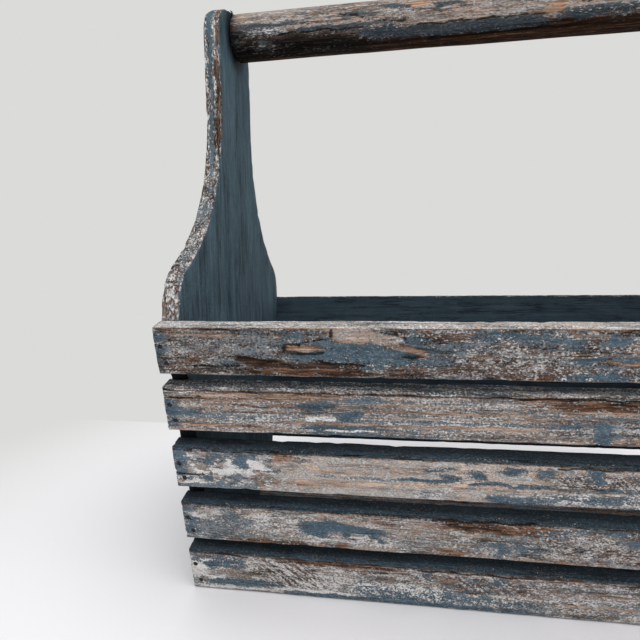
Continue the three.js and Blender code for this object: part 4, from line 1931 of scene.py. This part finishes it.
    def build(self, end: End, blank: Piece, material: Material) -> None:
        """Makes one end board from the blank, wears it and stands it in its place.

        Args:
            end: The end that it closes.
            blank: The sawn board.
            material: Its finish.
        """
        name = f"{end.value}_end_board"
        board = copy_piece(blank, f"{name}_worn")
        seed = self.left_seed if end is End.LEFT else self.right_seed
        carve_all(board, self.reliefs, Grain.UPRIGHT, seed, self.relief_stride)
        dress_corners(board, self.wear)
        settle(board, self.sizes.end_place(end))
        hand_over(board, material, (name,))

    def wear(self, points: Array, normals: Array) -> Layers:
        """Gives wear, habit and marks at corners of a board.

        Args:
            points: Corner points in the board's own frame.
            normals: Normals of their faces.

        Returns:
            Wear, habit and marks, four values each.
        """
        sizes = self.sizes
        depth, across, height = points.T
        outer = rise(*BOARD_FACING, -normals[:, 0])
        inner = rise(*BOARD_FACING, normals[:, 0])
        edge = np.clip(1.0 - outer - inner, 0.0, 1.0)
        foot = rise(*BOARD_FACING, -normals[:, 2])
        behind_slats = 1.0 - rise(sizes.edge_top - self.hidden_fade, sizes.edge_top, height)
        hidden = edge * behind_slats * (1.0 - foot)
        worn = blend_faces(((inner, self.inside), (outer, self.outside), (edge, self.sawn_edge)))
        worn["rust"] = self.edge_rust * edge
        lay(worn, hidden, {"paint": self.hidden_paint})
        low, high = self.neck_rise
        neck = edge * rise(sizes.edge_top + low, sizes.edge_top + high, height)
        wander = wave(height, *self.strip_wave, start=self.strip_turn * across / sizes.neck_width)
        for strip in self.strips:
            off_strip = np.abs(depth + wander - strip.middle) / strip.half_width
            lay(worn, neck * (1.0 - rise(*self.strip_fade, off_strip)), strip.targets())
        on_face = np.maximum(outer, inner)
        arris = fade(self.arris_distance(points), self.arris_width)
        arris = arris * (self.arris_wear - self.face_arris_loss * on_face)
        from_rim = self.edge_distance(points)
        rubbed = inner * fade(from_rim, self.rubbed_width)
        worn_rim = outer * fade(from_rim, self.rim_width)
        scuffed = outer * (1.0 - rise(*self.scuff_heights, height))
        worn["paint"] -= self.rubbed_loss * rubbed + self.rim_loss * worn_rim + self.scuff_loss * scuffed
        worn["chalk"] += self.rim_chalk * worn_rim + self.scuff_chalk * scuffed

        inner_streaks, outer_streaks, edge_streaks = self.streaks
        streaks = inner_streaks * inner + outer_streaks * outer + edge_streaks * edge
        flakes = self.flakes[0] * outer + self.flakes[1] * edge
        # Painted shade on the inner face, deeper towards the foot, and on the edges behind the slats; dirt
        # and painted shade round the handle's joint.
        from_handle = np.hypot(across, height - sizes.handle_height)
        dirt = inner * (1.0 - rise(sizes.handle_radius, self.dirt_and_shade_reach, from_handle))
        deep = inner * (1.0 - rise(self.deep_share * sizes.edge_top, sizes.edge_top, height))
        grime_and_shade = self.inner_shade * inner + self.deep_shade * deep + self.hidden_shade * hidden
        grime_and_shade = np.maximum(grime_and_shade, self.handle_dirt_and_shade * dirt)
        film = self.edge_film * (edge - hidden) * (1.0 - self.neck_film_loss * neck)
        return (
            pack_corners(worn["paint"], worn["chalk"], worn["tone"], arris),
            pack_corners(streaks, flakes, 0.0, grime_and_shade),
            pack_corners(worn["rust"], 0.0, film, UNREAD),
        )


HANDLE_WEAR = {
    "paint": 0.18,
    "chalk": 0.36,
    "tone": 0.62,
    "rust": 0.14,
    "flakes": 0.15,
    "saw": 0.0,
    "haze": 0.18,
}


@dataclass
class HandleDowel:
    """The round stick between the end boards."""

    sizes: CaddySizes
    sides: int = 96
    cuts_along: int = 240
    chamfer: float = 0.0015
    ease_angle: float = math.radians(60)
    seed: float = 2.1
    relief_stride: float = 5.9
    streaks: float = 0.55
    under_start: float = math.radians(125)  # from the top round to the underside, which has painted shade
    under_fade: float = 0.5  # turn over which the underside sets in
    under_shade: float = 0.5
    patches: tuple[Patch, ...] = (
        Patch(202, 47.5, 230, 11, paint=0.0, chalk=0.0, tone=0.25, rust=1.0, soft=0.12),
        Patch(42, 45, 62, 14, paint=0.06, chalk=0.04, tone=0.03, rust=0.2, haze=0.0, soft=0.3),
        Patch(74, 29.6, 30, 1.2, paint=0.9, chalk=0.3),
        Patch(112, 35.4, 18, 4.4, paint=0.74, chalk=0.45, soft=0.4),
        Patch(172, 37, 52, 4, paint=0.82, chalk=0.3, tone=0.36, rust=0.3, haze=0.02, soft=0.14),
        Patch(25, 39.5, 7, 5, paint=0.56, chalk=0.36, tone=0.3, haze=0.08, soft=0.4),
        Patch(22, 28.6, 19, 2.4, paint=0.36, chalk=0.8, soft=0.5),
        Patch(30, 25, 24, 0.9, paint=0.92),
        Patch(136, 19, 8, 2.4, paint=-0.2, chalk=0.06, tone=0.62, rust=0.6),
        Patch(226, 29, 6, 3.2, paint=-0.2, chalk=0.1, tone=0.58, rust=0.7),
        Patch(120, 19.5, 9, 1.8, paint=0.88),
        Patch(154, 21, 9, 1.6, paint=0.88),
        Patch(90, 22, 8, 1.4, paint=0.72),
        Patch(147, 42.5, 4.2, 2.2, paint=-0.2, chalk=0.0, tone=-0.1, rust=0.0),
        Patch(256, 34, 24, 3.6, paint=0.75, chalk=0.4),
        Patch(324, 33, 42, 4.4, paint=0.92, soft=0.25),
        Patch(292, 22, 22, 2.0, paint=0.7),
        Patch(356, 24, 30, 3.0, paint=0.1, chalk=0.8),
        Patch(5, 33, 7, 8, paint=0.6, chalk=0.1, tone=0.06, soft=0.4),
        Patch(10.5, 31, 2.2, 4.4, paint=-0.2, chalk=0.2, tone=0.46, rust=0.5, soft=0.3),
        # The last two darken the dowel's ends next to the boards: dirt and painted shade at the joints.
        Patch(1.5, 38, 3.5, 26, paint=0.1, chalk=0.0, tone=0.04, soft=0.4),
        Patch(403.9, 38, 3.5, 26, paint=0.1, chalk=0.0, tone=0.04, soft=0.4),
    )
    cracks: tuple[Crack, ...] = (
        ((78, 21), (98, 25.4), (112, 29), (124, 30), (129, 26)),
        ((34, 31.4), (70, 31), (98, 31.6)),
        ((130, 33), (170, 32.4), (222, 32.6)),
        ((10, 41), (26, 43), (34, 38)),
        ((240, 27), (286, 28.6), (330, 27.6)),
    )
    reliefs: tuple[Relief, ...] = (
        Relief("handle bends", 0.0011, 0.070, 0.022),
        Relief("handle grain", 0.0003, 0.034, 0.0045, 3),
        Relief("handle dents", 0.0010, 0.014, 0.007, 2, 0.0, (0.62, 0.8)),
    )

    def build(self, material: Material) -> None:
        """Turns the dowel, drills its ends, wears it and sets it in its place.

        Args:
            material: Its finish.
        """
        sizes = self.sizes
        length = sizes.inner_length - 2 * sizes.fit_gap
        clear_selection()
        bpy.ops.mesh.primitive_cylinder_add(
            vertices=self.sides,
            radius=sizes.handle_radius,
            depth=length,
            rotation=(0.0, math.pi / 2, 0.0),
        )
        dowel = take_primitive("handle_dowel_worn")
        ease_arrises(dowel, self.chamfer, self.ease_angle)
        with editing(dowel):
            split_edges(dowel, 0, length / 2, self.cuts_along)
        overcut = self.chamfer
        depth = sizes.screw_length - sizes.board_thickness + overcut
        holes = []
        for end in End:
            start = Vector((end.sign * (length / 2 + overcut), 0.0, 0.0))
            inward = Vector((-end.sign, 0.0, 0.0))
            holes.append(Hole(start, inward, depth, sizes.screw_hole_radius, SCREW_HOLE_SIDES))
        drill(dowel, holes)
        carve_all(dowel, self.reliefs, Grain.LENGTHWISE, self.seed, self.relief_stride)
        dress_corners(dowel, self.wear)
        settle(dowel, Matrix.Translation((0.0, 0.0, sizes.handle_height)))
        hand_over(dowel, material, ("handle_dowel",))

    def wear(self, points: Array, normals: Array) -> Layers:
        """Gives wear, habit and marks at corners of the dowel: rubbed bare on top, stained brown and
        darkened with painted shade underneath.

        Args:
            points: Corner points in the dowel's own frame.
            normals: Normals of their faces, not used.

        Returns:
            Wear, habit and marks, four values each.
        """
        length = self.sizes.inner_length
        turned = np.arctan2(np.abs(points[:, 1]), points[:, 2])
        along = points[:, 0] + length / 2
        along = np.where(points[:, 1] > 0.0, length - along, along)
        wavy_along, wavy_down = waver(along, self.sizes.handle_radius * turned)
        worn = {name: np.full(len(points), value) for name, value in HANDLE_WEAR.items()}
        crack = lay_patches(worn, wavy_along, wavy_down, self.patches, self.cracks)
        # Painted shade on the underside of the handle.
        under = rise(self.under_start, self.under_start + self.under_fade, turned)
        return (
            pack_corners(worn["paint"], worn["chalk"], worn["tone"], 0.0),
            pack_corners(self.streaks, worn["flakes"], 0.0, self.under_shade * under),
            pack_corners(worn["rust"], crack, worn["haze"], UNREAD),
        )


@dataclass
class FloorPanel:
    """The panel that closes the bottom between the end boards."""

    sizes: CaddySizes
    arris: float = 0.0008
    cuts_along: int = 100
    cuts_across: int = 36
    seed: float = 8.3
    relief_stride: float = 3.1
    reliefs: tuple[Relief, ...] = (
        Relief("floor hollows", 0.0004, 0.080, 0.030, 2, 0.0),
        Relief("floor grain", 0.0002, 0.050, 0.006, 3, 0.0),
    )
    top: FaceWear = FaceWear(0.4, 0.1, 0.38)
    underside: FaceWear = FaceWear(0.2, 0.2, 0.46)
    sawn_edge: FaceWear = FaceWear(0.6, 0.1, 0.3)
    habit: tuple[float, ...] = (0.6, 0.1, 0.0, 0.2)  # streaks, flakes, saw marks, and darkening as painted shade inside the caddy, the same all over

    def build(self, material: Material) -> None:
        """Cuts the panel with leaning long edges, drills it and lays it in its place.

        Args:
            material: Its finish.
        """
        sizes = self.sizes
        half_length = sizes.inner_length / 2 - sizes.fit_gap
        foot_half = sizes.half_width_at(0.0)
        top_half = sizes.half_width_at(sizes.floor_thickness)
        high = (half_length, foot_half, sizes.floor_thickness)
        panel = add_block("floor_panel_worn", (-half_length, -foot_half, 0.0), high)
        with editing(panel):
            pick_edges(panel, lies_above(sizes.floor_thickness / 2))
            widen(top_half / foot_half, sizes.floor_thickness)
        ease_arrises(panel, self.arris)
        with editing(panel):
            split_edges(panel, 0, half_length, self.cuts_along)
            split_edges(panel, 1, foot_half, self.cuts_across)
        depth = sizes.brad_reach - sizes.board_thickness + sizes.overcut
        holes = []
        for end in End:
            along = end.sign * (half_length + sizes.overcut)
            inward = Vector((-end.sign, 0.0, 0.0))
            for sign in (-1, 1):
                start = Vector((along, sign * sizes.floor_brad_across, sizes.floor_thickness / 2))
                holes.append(Hole(start, inward, depth, sizes.brad_hole_radius))
        drill(panel, holes)
        carve_all(panel, self.reliefs, Grain.LENGTHWISE, self.seed, self.relief_stride)
        dress_corners(panel, self.wear)
        hand_over(panel, material, ("floor_panel",))

    def wear(self, points: Array, normals: Array) -> Layers:
        """Gives wear, habit and marks at corners of the panel.

        Args:
            points: Corner points.
            normals: Normals of their faces.

        Returns:
            Wear, habit and marks, four values each.
        """
        top = rise(*BOARD_FACING, normals[:, 2])
        under = rise(*BOARD_FACING, -normals[:, 2])
        edge = 1.0 - top - under
        worn = blend_faces(((top, self.top), (under, self.underside), (edge, self.sawn_edge)))
        wear = pack_corners(worn["paint"], worn["chalk"], worn["tone"], 0.0)
        return wear, np.tile(self.habit, (len(points), 1)), np.zeros_like(wear)


@dataclass
class Fasteners:
    """The two handle screws and the brads."""

    sizes: CaddySizes
    sides: int = 48
    rim_ease: float = 0.0003
    slot_width: float = 0.0012
    slot_depth: float = 0.0010
    tip: float = 0.006
    tip_share: float = 0.1  # of the shank's radius that is left at the point
    ease_angle: float = math.radians(80)
    slot_turn: float = math.radians(28)

    def screw_blank(self) -> Piece:
        """Turns one slotted countersunk screw, head at the origin and pointing along +X."""
        sizes = self.sizes
        head_depth = sizes.screw_head_radius - sizes.screw_shank_radius
        clear_selection()
        bpy.ops.mesh.primitive_cone_add(
            vertices=self.sides,
            radius1=sizes.screw_head_radius,
            radius2=sizes.screw_shank_radius,
            depth=head_depth,
            location=(head_depth / 2, 0.0, 0.0),
            rotation=(0.0, math.pi / 2, 0.0),
        )
        screw = take_primitive("screw_blank")
        with editing(screw):
            bpy.ops.mesh.select_mode(type="FACE")
            mesh = bmesh.from_edit_mesh(screw.data)
            for face in mesh.faces:
                face.select_set(face.normal.x > STRAIGHT)
            bmesh.update_edit_mesh(screw.data)
            push_out((sizes.screw_length - self.tip - head_depth, 0.0, 0.0))
            push_out((self.tip, 0.0, 0.0))
            bpy.ops.transform.resize(
                value=(1.0, self.tip_share, self.tip_share),
                center_override=(sizes.screw_length, 0.0, 0.0),
            )
        ease_arrises(screw, self.rim_ease, self.ease_angle)
        reach = 2 * sizes.screw_head_radius
        low = (-self.slot_depth, -reach, -self.slot_width / 2)
        cut_away(screw, add_block("screw_slot", low, (self.slot_depth, reach, self.slot_width / 2)))
        return screw

    def build_screws(self, material: Material) -> None:
        """Drives one screw through each end board into the handle.

        Args:
            material: Its finish.
        """
        blank = self.screw_blank()
        twist = Matrix.Rotation(self.slot_turn, 4, "X")
        for end in End:
            name = f"{end.value}_handle_screw"
            screw = copy_piece(blank, f"{name}_slotted")
            settle(screw, self.sizes.end_place(end, self.sizes.handle_height) @ twist)
            hand_over(screw, material, (name,))
        discard(blank)

    def dress_brads(self, nodes: Mapping[str, Piece], material: Material) -> None:
        """Gives the frame's brads their finish.

        Args:
            nodes: The frame's nodes by name.
            material: The brads' finish.
        """
        brads = [node for name, node in nodes.items() if name.endswith("_brad")]
        for brad in brads:
            for slot in brad.material_slots:
                slot.material = material
        LOG.info("brads: %d", len(brads))


def seen_rays(sheet: NodeSheet) -> Socket:
    """Marks the rays that show the surroundings: seen straight, in gloss or through glass."""
    path = sheet.node("ShaderNodeLightPath")
    seen = sheet.math("MAXIMUM", path.outputs["Is Camera Ray"], path.outputs["Is Glossy Ray"])
    return sheet.math("MAXIMUM", seen, path.outputs["Is Transmission Ray"])


@dataclass(frozen=True)
class Lamp:
    """A wide soft light that shines from a place towards the caddy."""

    name: str
    place: tuple[float, float, float]
    power: float
    spread: float = math.radians(70)


@dataclass
class Studio:
    """The pale table, the soft light and the camera."""

    table_size: float = 12.0
    table_depth: float = 0.236  # from the caddy's middle to the foot of the wall
    table_reach: tuple[float, float] = (0.28, 0.62)  # over which the table fades into the room
    wall_blur: float = 0.006
    table_roughness: float = 0.7
    table_colour: Colour = tone(232, 231, 234)
    wall_colour: Colour = tone(219, 219, 217)
    ambient: float = 0.52
    lamps: tuple[Lamp, ...] = (
        Lamp("ceiling_light", (0.35, -0.45, 1.0), 2.4),
        Lamp("back_light", (-0.25, 0.85, 0.40), 0.45),
    )
    lens: float = 27.075
    sensor: float = 36.0
    near: float = 0.01
    eye: tuple[float, float, float] = (-0.08526, -0.372916, 0.20882)
    yaw: float = math.radians(8.522)
    pitch: float = math.radians(5.988)
    roll: float = math.radians(0.783)

    def lay_table(self) -> None:
        """Lays the table under the caddy."""
        clear_selection()
        bpy.ops.mesh.primitive_plane_add(size=self.table_size)
        table = bpy.context.object
        table.name = "table"
        material, sheet, shader = new_material("pale_table")
        sheet.put(shader.inputs["Base Color"], self.table_colour)
        sheet.put(shader.inputs["Roughness"], self.table_roughness)
        where = sheet.node("ShaderNodeTexCoord").outputs["Object"]
        behind = sheet.node("ShaderNodeSeparateXYZ", None, {0: where}).outputs[1]
        away = sheet.node("ShaderNodeVectorMath", {"operation": "LENGTH"}, {0: where}).outputs["Value"]
        faded = sheet.math(
            "MAXIMUM",
            sheet.remap(behind, self.table_depth - self.wall_blur, self.table_depth + self.wall_blur),
            sheet.remap(away, *self.table_reach),
        )
        room = sheet.node("ShaderNodeEmission", None, {"Color": self.wall_colour, "Strength": 1.0})
        shown = sheet.math("MULTIPLY", faded, seen_rays(sheet))
        layers = {0: shown, 1: shader.outputs[0], 2: room.outputs[0]}
        both = sheet.node("ShaderNodeMixShader", None, layers)
        sheet.put(material.node_tree.nodes["Material Output"].inputs["Surface"], both.outputs[0])
        table.data.materials.append(material)

    def light(self) -> None:
        """Hangs the soft lamps and sets the pale surroundings."""
        for lamp in self.lamps:
            sun = bpy.data.lights.new(lamp.name, "SUN")
            sun.angle = lamp.spread
            sun.energy = lamp.power
            holder = bpy.data.objects.new(lamp.name, sun)
            holder.rotation_euler = (-Vector(lamp.place)).to_track_quat("-Z", "Y").to_euler()
            bpy.context.scene.collection.objects.link(holder)
        world = bpy.data.worlds.new("pale_room")
        bpy.context.scene.world = world
        world.use_nodes = True
        sheet = NodeSheet(world.node_tree)
        world.node_tree.nodes.clear()
        room = sheet.node("ShaderNodeBackground", None, {"Color": WHITE, "Strength": self.ambient})
        wall = sheet.node("ShaderNodeBackground", None, {"Color": self.wall_colour, "Strength": 1.0})
        layers = {0: seen_rays(sheet), 1: room.outputs[0], 2: wall.outputs[0]}
        both = sheet.node("ShaderNodeMixShader", None, layers)
        sheet.node("ShaderNodeOutputWorld", None, {"Surface": both.outputs[0]})

    def set_camera(self) -> None:
        """Stands the camera where the picture was taken from."""
        lens = bpy.data.cameras.new("camera")
        lens.lens = self.lens
        lens.sensor_width = self.sensor
        lens.sensor_fit = "HORIZONTAL"
        lens.clip_start = self.near
        camera = bpy.data.objects.new("camera", lens)
        heading = Matrix.Rotation(self.yaw, 4, "Z") @ Matrix.Rotation(math.pi / 2 - self.pitch, 4, "X")
        camera.matrix_world = Matrix.Translation(self.eye) @ heading @ Matrix.Rotation(-self.roll, 4, "Z")
        bpy.context.scene.collection.objects.link(camera)
        bpy.context.scene.camera = camera

    def build(self) -> None:
        """Sets up the whole studio."""
        bpy.context.scene.view_settings.view_transform = "Standard"
        self.set_camera()
        self.lay_table()
        self.light()


def main() -> None:
    """Builds the caddy's pieces in order and dresses them."""
    logging.basicConfig(level=logging.INFO, format="%(message)s")
    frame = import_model()
    Studio().build()
    sizes = CaddySizes()
    groups = WoodGroups()

    slat_finish = WornPaint("slat_worn_paint", Grain.LENGTHWISE).material(groups)
    sides = SlattedSides(sizes)
    for number, height in enumerate(sizes.slat_heights, start=1):
        bar = sides.blank(height, number == 1)
        for side in Side:
            sides.build(side, number, bar, slat_finish)
        discard(bar)

    board_finish = WornPaint(
        "board_worn_paint",
        Grain.UPRIGHT,
        marks_scale=(0.65, 0.9, 0.9),
        paint_shade=tone(18, 38, 46),
        paint_body=tone(105, 131, 144),
        specks=0.15,
        broad_strokes=0.45,
    ).material(groups)
    boards = EndBoards(sizes)
    sawn = boards.blank()
    for end in End:
        boards.build(end, sawn, board_finish)
    discard(sawn)

    handle_finish = WornPaint(
        "handle_worn_paint",
        Grain.LENGTHWISE,
        offset=(0.31, 0.07, 0.0),
        marks_scale=(0.5, 0.95, 0.95),
        paint_shade=tone(42, 52, 58),
        paint_body=tone(78, 90, 97),
        specks=0.35,
    ).material(groups)
    HandleDowel(sizes).build(handle_finish)
    floor_finish = WornPaint(
        "floor_worn_paint",
        Grain.LENGTHWISE,
        paint_shade=tone(44, 57, 65),
    ).material(groups)
    FloorPanel(sizes).build(floor_finish)

    fasteners = Fasteners(sizes)
    screw_finish = RustedSteel(
        "dulled_screw_steel",
        bright=tone(132, 130, 126),
        rust=tone(92, 66, 48),
        rust_share=0.45,
        shine=0.42,
    )
    fasteners.build_screws(screw_finish.material(groups))
    brad_finish = RustedSteel(
        "rusted_brad_steel",
        bright=tone(52, 48, 46),
        rust=tone(58, 38, 28),
        rust_share=0.6,
        shine=0.55,
    )
    fasteners.dress_brads(frame["nodes"], brad_finish.material(groups))


if __name__ == "__main__":
    main()
